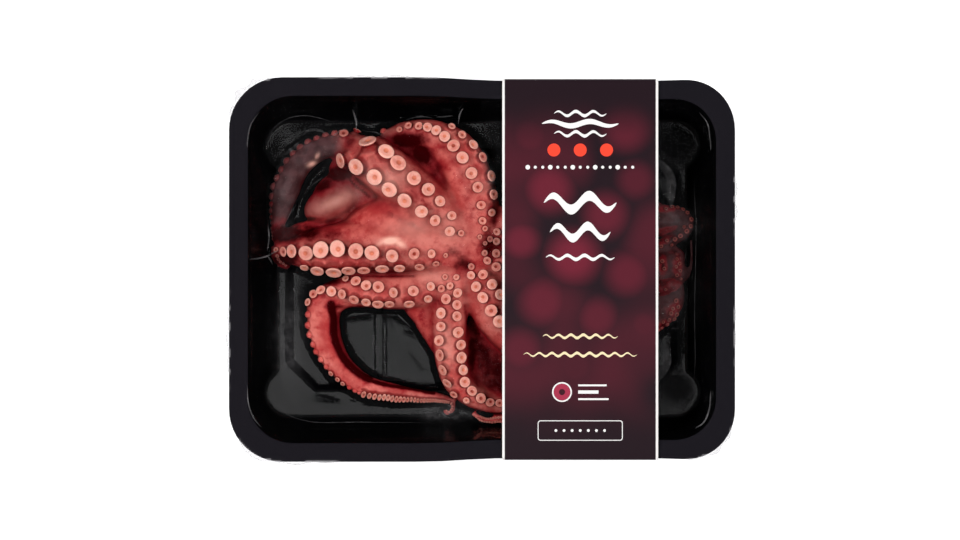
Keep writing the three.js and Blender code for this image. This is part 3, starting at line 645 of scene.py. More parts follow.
# %% Where the suckers are: X, Y and diameter of the ones that lie open to view, and how upright a tilted
# one faces, from 0, on its edge, to 1
SEEN = {
    "upper_left": [
        (-56.8, 61.6, 8.6, 0.5), (-47.6, 58.3, 8), (-41.3, 52.4, 7.9), (-33.9, 45.2, 7.5),
        (-26.5, 39.5, 6.7), (-20.9, 33.9, 5.5), (-15.1, 26.9, 4.6), (-10.3, 18, 3.4),
        (-69.4, 54.5, 7.4, 0.5), (-61.9, 51, 8.6, 0.85), (-53, 45.5, 8.1), (-45.4, 39.2, 7.6),
        (-38, 33.9, 7), (-29.9, 28.6, 6.4), (-23.1, 24.1, 5.5), (-16, 19, 4.8),
    ],
    "left": [
        (-98.2, 9, 5.1, 0.6), (-93.8, 9.2, 6.6, 0.72), (-86.7, 8.4, 7.6, 0.88), (-79.7, 9.9, 8.6),
        (-71.4, 10.4, 8), (-62.4, 9.1, 7.5), (-54.1, 8.3, 7.2), (-44.1, 6.7, 6.6), (-33.9, 7.8, 5.5),
        (-25.2, 7.8, 4.2), (-17.7, 6.9, 2.5), (-88, 1.2, 4.5, 0.6), (-81.5, 0.4, 7, 0.55),
        (-73.4, -0.2, 8.4, 0.55), (-66.1, 0.6, 7, 0.55), (-58.4, 0.6, 6.3, 0.55),
        (-49.7, 1.1, 6.2, 0.58), (-40.6, 1.2, 5.6, 0.6), (-30.7, 2, 4.9, 0.6), (-22.6, 3.2, 3.6, 0.65),
    ],
    "lower_left": [
        (-67.8, -4.5, 3.6), (-62.6, -5.7, 5.1), (-57.3, -7.8, 5.1), (-51, -8.6, 5.6),
        (-44, -11.1, 5.2, 0.82), (-33.9, -10.6, 5.3), (-25.2, -8.3, 4.3), (-18.3, -3.7, 3.1),
        (-86.5, -16.2, 4), (-84.1, -12.3, 4.4, 0.8), (-80.1, -10.3, 4.9), (-75, -11, 5),
        (-69.4, -12, 5, 0.8), (-63.4, -14.1, 5.2, 0.75), (-57.5, -15.5, 5, 0.72),
        (-51.7, -16.4, 5.6, 0.7), (-45.8, -16, 5.2, 0.62), (-36.5, -15.9, 5.6, 0.62),
        (-26.5, -14.2, 4.4, 0.8), (-20.3, -9.6, 3.6), (-87.4, -22.5, 3.6), (-88, -27.8, 3.6),
        (-87.2, -32.8, 3.6), (-85, -37.4, 3.4), (-83.2, -41.5, 3.2), (-80.8, -45.3, 3.2),
        (-78.2, -48.8, 3), (-75.2, -52.1, 3), (-72, -54.9, 2.8), (-69.3, -57.2, 2.7),
        (-66.6, -59.3, 2.6), (-63.8, -61, 2.5), (-61.2, -62.4, 2.4),
    ],
    "lower": [
        (-17.9, -14.8, 4.9), (-20.3, -21.6, 5.2), (-20.3, -28.6, 5.3), (-21.2, -34.9, 5.6),
        (-20, -42.2, 5.5, 0.72), (-18.6, -49.4, 5.3, 0.65), (-16.4, -55.9, 5, 0.6),
        (-13.9, -61.7, 4.3, 0.65), (-7.9, -65.1, 3.5), (-12.8, -3.9, 3.1), (-16, -8.4, 3.8),
        (-12, -11.4, 4.6), (-12.4, -17.5, 4.7), (-12.4, -23.4, 5), (-11.8, -31.1, 5.3),
        (-10.5, -37.1, 5.1), (-10.3, -43.7, 5.6), (-9.5, -49.8, 5.6), (-8.6, -55.9, 5.6),
        (-5, -60.2, 5.2), (-0.7, -63.8, 5.1), (4.2, -66.2, 4.4), (8.9, -66.4, 4.2),
    ],
    "lower_right": [
        (-5.3, 1.4, 3.5), (-5.4, -2.9, 4.3), (-2.9, -8.5, 5.3), (0.4, -13.9, 5.7), (4.4, -20.1, 6.2),
        (8.6, -25.6, 6.6), (0.6, -2.7, 4.9), (5, -7.3, 5.3), (8.9, -12.4, 5.6), (97, -22.5, 2.6),
        (94, -22, 2.6), (92.5, -28, 2.4), (90.6, -30.6, 2.2), (96.6, -15.5, 2.4), (97.8, -18.6, 2.4),
        (95.2, -19.6, 2.2), (95.8, -24.8, 2.4), (93.2, -25.4, 2.2), (90.4, -26.4, 2), (88.8, -31.4, 2),
        (91.5, -9.8, 1.6), (93.4, -10.2, 1.6), (95.3, -10.2, 1.6), (97.2, -9.9, 1.6),
    ],
    "right": [
        (1.2, 8.2, 3.3), (2.8, 4.3, 4), (7.4, 7.9, 4.3), (7.5, 1.2, 4.9), (97.8, 9.3, 2.2),
        (99.4, 6.6, 2), (97.2, 5.6, 2), (98.8, 3.2, 2.2), (96.8, 1.4, 1.8), (98.9, -0.6, 2),
        (97, -3, 2.2), (99, -4.8, 1.8), (89.6, 4.2, 2.4), (90.6, 0.4, 2.2),
    ],
    "upper_right": [
        (1.5, 13, 2.4), (4.2, 15.2, 3.2), (7.6, 14.2, 3.8), (7.6, 18.8, 3.8), (91.5, 30.6, 2.2),
        (94.7, 31.7, 2.4), (97.6, 31.7, 2.2), (100.3, 30.7, 2.2), (102.6, 28.5, 2.3), (104.4, 25, 2.5),
        (104, 21.5, 2.4), (102, 19, 2.5), (98.8, 16.8, 2.6), (96, 14.9, 2.4), (92, 14.6, 2),
        (93.2, 12.8, 2), (94.7, 12, 1.8), (89.3, 11.4, 2.1), (90.8, 10.2, 1.8), (100.5, 21.3, 1.8),
    ],
    "upper": [
        (-41.1, 69.8, 3.2), (-36.4, 71.5, 3.8), (-31.5, 71.4, 4.3), (-26.8, 70.6, 4.7),
        (-22.4, 68.9, 5.2), (-18.4, 65.8, 5.6), (-14, 61.3, 6), (-9.5, 55.1, 6.2), (-5.2, 47.8, 5.9),
        (-2.1, 40.6, 5.5), (-0.4, 31.9, 4.6), (0.3, 24.3, 3.9), (-1, 16.4, 2.6), (-15.2, 71.3, 4),
        (-9.8, 66.7, 4.6), (-4.3, 61.7, 5), (0.4, 55.6, 5), (4.6, 46.2, 5.3), (5.7, 37.1, 5),
        (5, 28.1, 4), (1.6, 20.3, 3),
    ],
}
SUCKER_SPREAD = 31  # further on, degrees from the middle of the sucker side to each row
SUCKER_SHARE = 0.63
SUCKER_PITCH = 0.68
LEAST_SUCKER, LEAST_PITCH = 0.9, 0.8
BARE_TIP = 1  # length without suckers
SEEN_GAP = 5.5  # distance that a sucker of the rule keeps from an open one, along the arm
SUCKER_STAND = 0.42  # how far a sucker's face stands off the skin, as a share of its diameter
MOST_ASIDE = 0.92  # sine of the steepest place on an arm's side that still shows
COMBED = ("lower_left",)  # arms whose thin end has its suckers pressed together into a comb
COMB_START, COMB_HALF = 100, 5.2  # how far along, and below which half width, the comb begins
COMB_SHARE, COMB_PITCH, COMB_GAP = 0.95, 0.96, 1.5


def seen_suckers(arm):
    """Each open sucker, where on its arm's skin it must stand to be seen at its place from above."""
    found = []
    for x, y, diameter, *upright in SEEN[arm.name]:
        away = np.array([x, y]) - arm.points[:, :2]
        sine = (away * arm.left[:, :2]).sum(1) / (arm.half + SUCKER_STAND * diameter)
        sine = np.clip(sine, -MOST_ASIDE, MOST_ASIDE)[:, None]
        cosine = np.sqrt(1 - sine**2)
        half = arm.half[:, None]
        points = arm.points + arm.left * sine * half + arm.up * cosine * half * ARM_FLATNESS
        normals = arm.left * sine + arm.up * cosine / ARM_FLATNESS
        normals /= np.linalg.norm(normals, axis=1, keepdims=True)
        if upright:
            outwards = normals[:, :2] / np.linalg.norm(normals[:, :2], axis=1, keepdims=True)
            outwards *= math.sqrt(1 - upright[0] ** 2)
            normals = np.column_stack([outwards, np.full(len(outwards), upright[0])])
        shown_at = points + SUCKER_STAND * diameter * normals
        best = np.argmin(np.hypot(shown_at[:, 0] - x, shown_at[:, 1] - y))
        found.append((arm.along[best], points[best], normals[best], diameter))
    return found


def place_suckers(arm):
    """All suckers of an arm: place, direction, diameter, darkness, the arm's direction, narrowness."""
    seen = seen_suckers(arm)
    found = [
        (point, normal, diameter, arm.read(arm.dark, distance), arm.read(arm.forward, distance), 1)
        for distance, point, normal, diameter in seen]
    distance, row = min(other[0] for other in seen), 0
    while distance < arm.length - BARE_TIP:
        half = arm.read(arm.half, distance)
        comb = arm.name in COMBED and half < COMB_HALF and distance > COMB_START
        spread = 0 if comb else SUCKER_SPREAD if row else -SUCKER_SPREAD
        diameter = (COMB_SHARE if comb else SUCKER_SHARE) * half * dice.uniform(0.93, 1.07)
        point, normal = arm.skin(distance, arm.read(arm.turn, distance) + spread + dice.uniform(-3, 3))
        clear = all(abs(distance - other[0]) > (COMB_GAP if comb else SEEN_GAP) for other in seen)
        if diameter > LEAST_SUCKER and clear:
            found.append((
                point, normal + dice.normal(0, 0.05, 3), diameter, arm.read(arm.dark, distance),
                arm.read(arm.forward, distance), 0.5 if comb else 1))
        distance += max((COMB_PITCH if comb else SUCKER_PITCH) * half, LEAST_PITCH) / 2
        row = 1 - row
    return found


suckers = [s for arm in arms for s in place_suckers(arm)]
print(len(suckers), "suckers, the widest", round(max(s[2] for s in suckers), 1), "mm")

# %% [markdown]
# ## The skin
# Each arm is a curve with an oval drawn along it. The arms, the body and a low mound under each sucker
# are joined, and a voxel remesh melts them into one skin, as flesh has no seams. Smoothing rounds the
# joins, and what lies below the tray's floor is pressed flat, as the weight of the octopus does.

# %% Arms as curves with an oval section
VOXEL = 1.05
FINE_STEP = 2.5


def build_arm(arm):
    oval = add_new(bpy.ops.curve.primitive_bezier_circle_add, radius=1)
    oval.scale = (1, ARM_FLATNESS, 1)
    bpy.ops.object.transform_apply(location=False, rotation=False, scale=True)
    oval.data.resolution_u = 8
    path = add_new(bpy.ops.curve.primitive_nurbs_path_add)
    path.name = "arm_" + arm.name
    path.data.splines.clear()
    spline = path.data.splines.new("POLY")
    distances = np.linspace(0, arm.length, max(8, int(arm.length / FINE_STEP)))
    spline.points.add(len(distances) - 1)
    for point, distance in zip(spline.points, distances):
        point.co = (*(arm.read(arm.points, distance) * MM), 1)
        point.radius = arm.read(arm.half, distance) * MM
    path.data.bevel_mode = "OBJECT"
    path.data.bevel_object = oval
    path.data.use_fill_caps = True
    path.data.twist_mode = "Z_UP"
    make_active(path)
    bpy.ops.object.convert(target="MESH")
    bpy.data.objects.remove(oval)
    return path


flesh = [build_arm(arm) for arm in arms]
print("first arm", flesh[0].dimensions / MM)

# %% The body, the webs and the mounds under the suckers
def add_ball(middle, half, turn=0, segments=32):
    sizes = {"segments": segments, "ring_count": segments // 2, "radius": 1}
    ball = add_new(bpy.ops.mesh.primitive_uv_sphere_add, **sizes)
    ball.scale = [h * MM for h in half]
    ball.rotation_euler = (0, 0, math.radians(turn))
    ball.location = [m * MM for m in middle]
    apply_place()
    return ball


for middle, half, turn, *tints in BODY.values():
    flesh.append(add_ball(middle, half, turn))


def take_mesh(piece):
    """The points and faces of a piece, which is deleted."""
    points, faces = points_of(piece), [list(face.vertices) for face in piece.data.polygons]
    bpy.data.objects.remove(piece)
    return points, faces


unit_ball, unit_faces = take_mesh(add_ball((0, 0, 0), (1, 1, 1), segments=10))
unit_ball = unit_ball / MM


def stamp_balls(places):
    """Copies of the unit ball, one for each 4x4 place, as points and faces."""
    points = [unit_ball @ place[:3, :3].T + place[:3, 3] for place in places]
    faces = [
        [copy * len(unit_ball) + i for i in face] for copy in range(len(places)) for face in unit_faces]
    return np.vstack(points), faces


def stand_on(point, normal, forward, wide, long, high):
    """A place that puts Z along the normal, with the given sizes across, along the arm, and out."""
    z = normal / np.linalg.norm(normal)
    y = forward - z * np.dot(forward, z)
    y /= np.linalg.norm(y)
    x = np.cross(y, z)
    place = np.eye(4)
    place[:3, :3] = np.column_stack([x * wide, y * long, z * high])
    place[:3, 3] = point
    return place


LEAST_MOUND = 2.2  # diameter of the smallest sucker that stands on a mound
mounds = [
    stand_on(point, normal, forward, 0.62 * d, 0.58 * d, 0.34 * d)
    for point, normal, d, dark, forward, narrow in suckers if d > LEAST_MOUND and narrow == 1]
mound_points, mound_faces = stamp_balls(mounds)
flesh.append(make_piece("mounds", mound_points * MM, mound_faces))

# %% Melt it all into one skin
RESTING_HEIGHT = PANEL + RIB_HEIGHT + GAP

join_pieces(*flesh)
skin = flesh[0]
skin.name = "octopus_skin"
apply_modifier(skin, "REMESH", mode="VOXEL", voxel_size=VOXEL * MM)
apply_modifier(skin, "SMOOTH", factor=0.5, iterations=5)
print("skin", len(skin.data.polygons), "faces")

# %% [markdown]
# The colour of the skin depends on where a point lies: on the pale sucker side or on the red back of an
# arm, on an arm that is bright or dark, on a crest or in a groove, on a flat top or a steep side, and near
# a sucker's foot. Grooves, steep sides and the skin by the suckers get painted shade, the grooves with
# the red of the juice that gathers there, and listed places get painted highlights or painted shade. Each
# is worked out once for every point and stored, and the material mixes its colours by them.

# %% Measure every point of the skin
NEAR_POINTS = 4  # how many of the arms' nearest points have a say in the colour of a point
FULL_SAY = 0.6  # share of an arm's half width up to which the arm has its full say
ARM_FADE, BODY_FADE = 4, 8  # how fast the say of an arm, and of a part of the body, then fades
BODY_SAY = 1.5  # what a part of the body says at its own surface
BODY_BACK = 0.6  # how much its skin counts as the back of an arm


def tree_of(places):
    tree = kdtree.KDTree(len(places))
    for i, place in enumerate(places):
        tree.insert(place, i)
    tree.balance()
    return tree


def measure_skin(points):
    """For each point: how brown, how deep red from painted shade and juice, how far on the sucker side of
    its arm, -1 to 1.
    """
    owners = [(arm, i) for arm in arms for i in range(0, len(arm.points), 3)]
    tree = tree_of([arm.points[i] for arm, i in owners])
    brown, deep, oral = np.zeros((3, len(points)))
    total = np.full(len(points), 1e-6)
    for k, point in enumerate(points):
        for place, index, far in tree.find_n(point, NEAR_POINTS):
            arm, i = owners[index]
            weight = math.exp(-ARM_FADE * max(far / arm.half[i] - FULL_SAY, 0))
            angle = math.radians(arm.turn[i])
            side = arm.left[i] * math.sin(angle) + arm.up[i] * math.cos(angle)
            away = point - arm.points[i]
            away -= arm.forward[i] * np.dot(away, arm.forward[i])
            oral[k] += weight * np.dot(away, side) / max(np.linalg.norm(away), 1e-6)
            brown[k] += weight * arm.dark[i]
            total[k] += weight
    for middle, half, turn, its_brown, its_deep in BODY.values():
        away = points - middle
        angle = math.radians(turn)
        cosine, sine = math.cos(angle), math.sin(angle)
        local = np.column_stack([
            away[:, 0] * cosine + away[:, 1] * sine, away[:, 1] * cosine - away[:, 0] * sine, away[:, 2]])
        weight = BODY_SAY * np.exp(-BODY_FADE * np.abs(np.linalg.norm(local / half, axis=1) - 1))
        brown += weight * its_brown
        deep += weight * its_deep
        oral -= BODY_BACK * weight
        total += weight
    return brown / total, deep / total, oral / total


skin_points = points_of(skin) / MM
skin_slope = read_vertices(skin, "normal")[:, 2]
skin_brown, skin_deep, skin_oral = measure_skin(skin_points)
print("brown up to", skin_brown.max().round(2), "deep red up to", skin_deep.max().round(2))

# %% Press the skin flat where it rests, and wrinkle it
GIVE = 1  # how far above the resting height the flesh starts to give way
pressed = RESTING_HEIGHT + GIVE * np.exp((skin_points[:, 2] - RESTING_HEIGHT - GIVE) / GIVE)
skin_points[:, 2] = np.where(skin_points[:, 2] < RESTING_HEIGHT + GIVE, pressed, skin_points[:, 2])
skin_points[:, 2] = np.maximum(skin_points[:, 2], RESTING_HEIGHT)
move_points(skin, skin_points * MM)

wrinkles = bpy.data.textures.new("wrinkles", "CLOUDS")
wrinkles.noise_scale = 5.5 * MM
wrinkles.noise_depth = 2
apply_modifier(skin, "DISPLACE", texture=wrinkles, strength=0.7 * MM, mid_level=0.5, texture_coords="LOCAL")
skin_points = points_of(skin)
skin_points[:, 2] = np.maximum(skin_points[:, 2], RESTING_HEIGHT * MM)
move_points(skin, skin_points)

# %% Heights seen from above
MAP_STEP = 1
MAP_HALF_X, MAP_HALF_Y = 130, 100
map_xs = np.arange(-MAP_HALF_X, MAP_HALF_X + 0.1, MAP_STEP)
map_ys = np.arange(-MAP_HALF_Y, MAP_HALF_Y + 0.1, MAP_STEP)


def ray_tree(piece):
    """A tree of the piece's faces, in mm, that rays can be cast at."""
    return BVHTree.FromPolygons(
        [v.co / MM for v in piece.data.vertices], [tuple(p.vertices) for p in piece.data.polygons])


def heights_of(pieces, otherwise):
    """The height of the highest of the pieces, looked at from above, on the map's grid, in mm."""
    heights = np.full((len(map_ys), len(map_xs)), -math.inf)
    for piece in pieces:
        tree = ray_tree(piece)
        for j, y in enumerate(map_ys):
            for i, x in enumerate(map_xs):
                hit = tree.ray_cast(Vector((x, y, 100)), Vector((0, 0, -1)))[0]
                if hit is not None:
                    heights[j, i] = max(heights[j, i], hit.z)
    return np.where(np.isfinite(heights), heights, otherwise)


def four_around(field):
    """The sum of the four grid points next to each."""
    padded = np.pad(field, 1, mode="edge")
    return padded[:-2, 1:-1] + padded[2:, 1:-1] + padded[1:-1, :-2] + padded[1:-1, 2:]


def blurred(field, passes):
    for _ in range(passes):
        field = (four_around(field) + 4 * field) / 8
    return field


def read_map(field, points):
    """The field's value at each point, from the four grid points around it."""
    u = np.clip((points[:, 0] + MAP_HALF_X) / MAP_STEP, 0, len(map_xs) - 1.001)
    v = np.clip((points[:, 1] + MAP_HALF_Y) / MAP_STEP, 0, len(map_ys) - 1.001)
    i, j = u.astype(int), v.astype(int)
    s, t = u - i, v - j
    return (
        field[j, i] * (1 - s) * (1 - t) + field[j, i + 1] * s * (1 - t)
        + field[j + 1, i] * (1 - s) * t + field[j + 1, i + 1] * s * t)


skin_heights = heights_of([skin], PANEL)
print("skin reaches", skin_heights.max().round(1), "mm")

# %% Lift the suckers onto the skin, and leave out the ones that flesh covers
SEARCH = 7  # how far outside and inside its place the skin is looked for
MOST_BURIED = 1.4  # how deep a sucker may lie, and how much deeper for each mm of its diameter
BURIED_SHARE = 0.2
ELBOW_ROOM = 0.44  # how far apart two suckers stand at least, as a share of both their diameters
CLEARANCE = 0.5  # what is left at least of the search above the skin, and of the skin above the floor


def land_suckers(candidates):
    """Moves each sucker to the skin under it. Drops it where it is buried or meets a bigger one."""
    skin_tree = ray_tree(skin)
    landed = []
    for point, normal, diameter, dark, forward, narrow in sorted(candidates, key=lambda c: -c[2]):
        normal = normal / np.linalg.norm(normal)
        start = Vector(point + SEARCH * normal)
        hit, facing, index, far = skin_tree.ray_cast(start, Vector(-normal), 2 * SEARCH)
        if hit is None or SEARCH - far > MOST_BURIED + BURIED_SHARE * diameter or far < CLEARANCE:
            continue
        place = np.array(hit)
        crowded = any(
            np.linalg.norm(place - other[0]) < ELBOW_ROOM * (diameter * narrow + other[2] * other[5])
            for other in landed)
        if crowded or place[2] < RESTING_HEIGHT + CLEARANCE:
            continue
        normal = 0.85 * normal + 0.15 * np.array(facing)
        landed.append((place, normal, diameter, dark, forward, narrow))
    return landed


shown = land_suckers(suckers)
print(len(shown), "of", len(suckers), "suckers show")

# %% Store what the skin's colour hangs on
PAINTED_HIGHLIGHTS = [  # X, Y, long and wide half size, turn and strength of the painted highlights, where the skin is painted pale
    (-45.2, 14.2, 4.6, 1.7, 4, 1.5), (-40.6, 12.8, 3.4, 1.5, -28, 1), (-50, 13.2, 2.6, 1.2, 30, 0.7),
    (-34, 20, 14, 7, 0, 0.28), (-33, 21.5, 2, 1, -20, 0.35), (-25.5, 28.5, 1.6, 1, 0, 0.35),
    (-46, 44, 10, 6, 0, 0.3), (-17, 20, 10, 10, 0, 0.2), (-72.5, 33.5, 10, 3.2, 24, 0.34),
    (-25, -4, 9, 4, 8, 0.25), (-17, -38, 3, 14, 0, 0.25), (-84.5, 52.5, 2.2, 1.1, 20, 0.8),
    (-82, 56.5, 1.4, 0.8, 70, 0.6),
]
SHADE_AND_JUICE_SPOTS = [  # the same for the places painted a deep red: painted shade, with the juice's red in it
    (-37, 64, 11, 5, 0, 1.4), (-30, 57, 9, 6, -40, 1.3), (-23, 49, 6, 8, 0, 0.8),
    (-71, 47.5, 11, 5, 0, 1.3), (-79, 42, 9, 4.5, 25, 1.1), (-86, 36, 5, 3.5, 30, 0.6),
    (-86, 25.2, 8, 1.6, 0, 1.1), (-97, 18, 11, 6, 5, 1.4), (-86, 18.5, 10, 5.5, 0, 1.05),
    (-75, 17.6, 9, 4.6, -5, 0.75), (-68, 21, 6, 3, 0, 0.4), (-98, 4.6, 8, 3.6, 0, 1.4),
    (-78, -6, 12, 2.4, 0, 1.2), (-61, 43.5, 9, 2.2, -38, 0.9), (-66, 64, 4, 5, 0, 0.8),
    (-71, 55, 2.4, 5, 0, 0.8), (-68, -50, 16, 7, -38, 0.35), (-81, -17, 7, 5, 0, 0.35),
    (-15, 22, 8, 9, 0, 0.3), (-73, -18.5, 7, 1.8, 0, 0.9), (-58, 36, 7, 2, -20, 0.5),
    (-9, 3, 7, 6, 0, 0.9), (-14, 8.5, 6, 4, 0, 0.7), (4, 12, 7, 9, 0, 1), (6, 26, 3, 8, 0, 0.8),
    (-7, 36, 3, 8, 0, 0.5), (-5, -42, 3.5, 15, 0, 1.1), (-20, -17.5, 6, 3, -40, 0.6),
    (88, 14, 8, 2.4, 20, 0.8), (90, 2, 2.4, 5, 0, 0.9), (97.5, 1, 2.6, 7, 0, 0.7),
    (96, -20, 5, 4, 40, 0.7), (91, -28, 6, 2.6, 30, 0.9), (92, 30.5, 9, 2, 8, 0.7),
]
SHADE_AND_JUICE_LINES = [  # width and strength of painted shade along a line, with the juice's red: creases between arms, and edges in shade
    (2.3, 1.4, (
        (-75, -17), (-73.8, -25), (-73.4, -33), (-71.2, -40), (-67, -46.6), (-62, -51.2), (-56, -54.6))),
    (1.2, 1.3, ((-56, -55.2), (-47, -57.6), (-35, -59.4), (-24, -61.6))),
    (0.9, 0.8, ((-64, -3.2), (-48, -3.4), (-34, -3.2))),
    (1.4, 0.7, ((-62, -18.6), (-50, -20), (-38, -20.4))), (1.6, 0.9, ((-68, 47), (-62, 41), (-56, 36.4))),
    (1.4, 0.6, ((-8.6, -18), (-7, -30), (-5.6, -50), (-2, -58))),
    (1.2, 0.4, ((-24.4, -24), (-24.6, -38), (-22, -50))),
    (2.4, 0.5, ((-66, 44.5), (-56, 35), (-47, 28.5), (-38, 23.5), (-28, 19.6))),
    (2, 0.35, ((-90, 4.6), (-70, 4.6), (-50, 3.8), (-34, 4.4), (-24, 4.8))),
    (2, 0.5, ((-43, 47), (-36, 40), (-28, 33), (-21, 27))),
    (2, 0.45, ((-54, 60), (-44, 55), (-36, 49), (-27, 43), (-19, 37))),
    (2, 0.4, ((-20, 61), (-13, 53), (-8.6, 44), (-5.6, 35), (-5, 26))),
    (2, 0.5, ((-3, 66), (3, 58), (6.6, 48), (8, 38))),
    (1.6, 0.45, ((-86, -16), (-80, -14), (-72, -15), (-64, -17.6))),
]


def spots_at(spots, points):
    """How strong the strongest of some soft oval spots is at each point."""
    strengths = np.zeros(len(points))
    for x, y, long, wide, turn, strength in spots:
        cosine, sine = math.cos(math.radians(turn)), math.sin(math.radians(turn))
        along = (points[:, 0] - x) * cosine + (points[:, 1] - y) * sine
        aside = (points[:, 1] - y) * cosine - (points[:, 0] - x) * sine
        strengths = np.maximum(strengths, strength * np.exp(-(along / long) ** 2 - (aside / wide) ** 2))
    return strengths


def strokes_at(strokes, points):
    """The same for soft strokes along smooth lines."""
    strengths = np.zeros(len(points))
    for width, strength, line in strokes:
        row, shares = curve_points(np.array([(x, y, 0) for x, y in line], float))
        far = np.full(len(points), math.inf)
        for x, y, z in row:
            far = np.minimum(far, np.hypot(points[:, 0] - x, points[:, 1] - y))
        strengths = np.maximum(strengths, strength * np.exp(-(far / width) ** 2))
    return strengths


# How far each point lies below the blurred heights around it: the grooves, which get painted shade and the
# juice's red.
around = blurred(skin_heights, 30)
skin_points = points_of(skin) / MM
groove = read_map(around, skin_points) - skin_points[:, 2]
# How near each point lies to a sucker, in its radii: the skin by a sucker's foot gets painted shade and a
# darker outline.
sucker_tree = tree_of([s[0] for s in shown])
ring = []
for point in skin_points:
    place, index, far = sucker_tree.find(point)
    ring.append(far / (0.5 * shown[index][2]))
# The listed places and lines of deep red: painted shade, with the juice's red.
shade_and_juice = np.maximum(spots_at(SHADE_AND_JUICE_SPOTS, skin_points), strokes_at(SHADE_AND_JUICE_LINES, skin_points))
for attribute, values in {
        "brown": skin_brown, "deep": np.maximum(skin_deep, shade_and_juice), "oral": skin_oral,
        "slope": skin_slope, "groove": groove, "pale": spots_at(PAINTED_HIGHLIGHTS, skin_points), "ring": ring}.items():
    store(skin, attribute, values)
shade_smooth(skin)
print("grooves", groove.min().round(1), "to", groove.max().round(1), "mm deep")

# %% The skin's material
flesh_paint = Paint("octopus_skin")
patches = flesh_paint.noise(9, detail=4, roughness=0.6)
mottle = flesh_paint.noise(3.5, detail=3, roughness=0.6)
speckle = flesh_paint.noise(1.5, detail=3, roughness=0.7)
sucker_side = flesh_paint.ramp_of("oral", -0.2, 0.8)
# Steep sides, facing away from the light above: painted shade.
upright = flesh_paint.ramp_of("slope", 0.85, 0.2)
# The far side from the suckers, under the arms and the body: painted shade.
under = flesh_paint.ramp_of("oral", -0.6, -0.95)
# Grooves: painted shade, with the juice's red.
shade_in_groove = flesh_paint.ramp_of("groove", -1.5, 4)
# By each sucker's foot: painted shade, with a darker outline.
shade_by_sucker = flesh_paint.ramp_of("ring", 1.4, 1)
brownness = flesh_paint.ramp_of("brown", 0.1, 0.9)
uneven = flesh_paint.maths("MULTIPLY", flesh_paint.maths("SUBTRACT", mottle, 0.5), 0.7)
# The stored deep red, made uneven by the mottle: painted shade, with the juice's red.
juice_and_shade = flesh_paint.maths("ADD", flesh_paint.attribute("deep"), uneven)
shade_and_stain = flesh_paint.ramp(juice_and_shade, 0.1, 0.75)
juice_and_shade = flesh_paint.ramp(juice_and_shade, 0.35, 1.05)
back = flesh_paint.blend(flesh_paint.ramp(patches, 0.35, 0.68), rgb(176, 50, 50), rgb(216, 98, 90))
front = flesh_paint.blend(flesh_paint.ramp(patches, 0.35, 0.65), rgb(192, 76, 72), rgb(224, 122, 112))
colour = flesh_paint.blend(sucker_side, back, front)
for share, strength, layer in (
        (flesh_paint.ramp(mottle, 0.5, 0.8), 1, (172, 40, 44)),
        (flesh_paint.ramp(speckle, 0.6, 0.85), 1, (150, 30, 34)), (upright, 0.85, (118, 18, 24)),
        (under, 0.9, (84, 16, 18)), (shade_in_groove, 1, (84, 6, 12)), (shade_by_sucker, 0.75, (110, 8, 14))):
    colour = flesh_paint.lay_over(colour, share, strength, layer)
# The brown skin gets painted shade on its steep sides and by the suckers too.
brown = flesh_paint.blend(flesh_paint.ramp(patches, 0.38, 0.62), rgb(50, 18, 20), rgb(78, 46, 48))
brown = flesh_paint.lay_over(brown, upright, 0.8, (66, 4, 8))
brown = flesh_paint.lay_over(brown, shade_by_sucker, 0.7, (56, 4, 6))
colour = flesh_paint.blend(brownness, colour, brown)
# Last the deep red, painted shade with the juice's red, and the painted highlights of the listed pale spots.
for share, strength, layer in (
        (shade_and_stain, 0.75, (142, 18, 30)), (juice_and_shade, 1, (48, 1, 3)),
        (flesh_paint.attribute("pale"), 1, (250, 186, 168))):
    colour = flesh_paint.lay_over(colour, share, strength, layer)
dull = flesh_paint.maths("SUBTRACT", 1, juice_and_shade)
flesh_paint.set(
    Base_Color=colour, Roughness=0.5, Subsurface_Weight=0.1, Subsurface_Scale=1.5 * MM,
    Subsurface_Radius=(1, 0.35, 0.25), Specular_IOR_Level=flesh_paint.maths("MULTIPLY", dull, 0.35))
relief = flesh_paint.maths("ADD", flesh_paint.noise(2.6, detail=4, roughness=0.6), speckle)
flesh_paint.bump(relief, 0.35, 0.2)
skin.data.materials.append(flesh_paint.material)

# %% [markdown]
# ## The suckers
# One sucker is turned like a pot: a profile is spun once round. Suckers of real size need many facets,
# and the tiny ones near the tips only a few, so there are a fine and a plain one. Each is then set on
# its place on the arm, a little out of round.

# %% Turn one sucker
SUCKER_PROFILE = [  # across, up, and the shade: 0 pit, 0.3 lip, 0.6 face, 0.8 rim, 1 stalk
    (0.5, -0.5, 1), (0.58, -0.12, 1), (0.76, 0.06, 0.98), (0.95, 0.18, 0.93), (1, 0.27, 0.84),
    (0.96, 0.34, 0.74), (0.84, 0.36, 0.66), (0.62, 0.34, 0.58), (0.44, 0.31, 0.5), (0.34, 0.3, 0.4),
    (0.26, 0.27, 0.25), (0.16, 0.2, 0.1), (0, 0.17, 0),
]
PLAIN_PROFILE = [(0.55, -0.5, 1), (0.95, 0.2, 0.92), (0.95, 0.34, 0.78), (0.5, 0.3, 0.5), (0, 0.1, 0.1)]


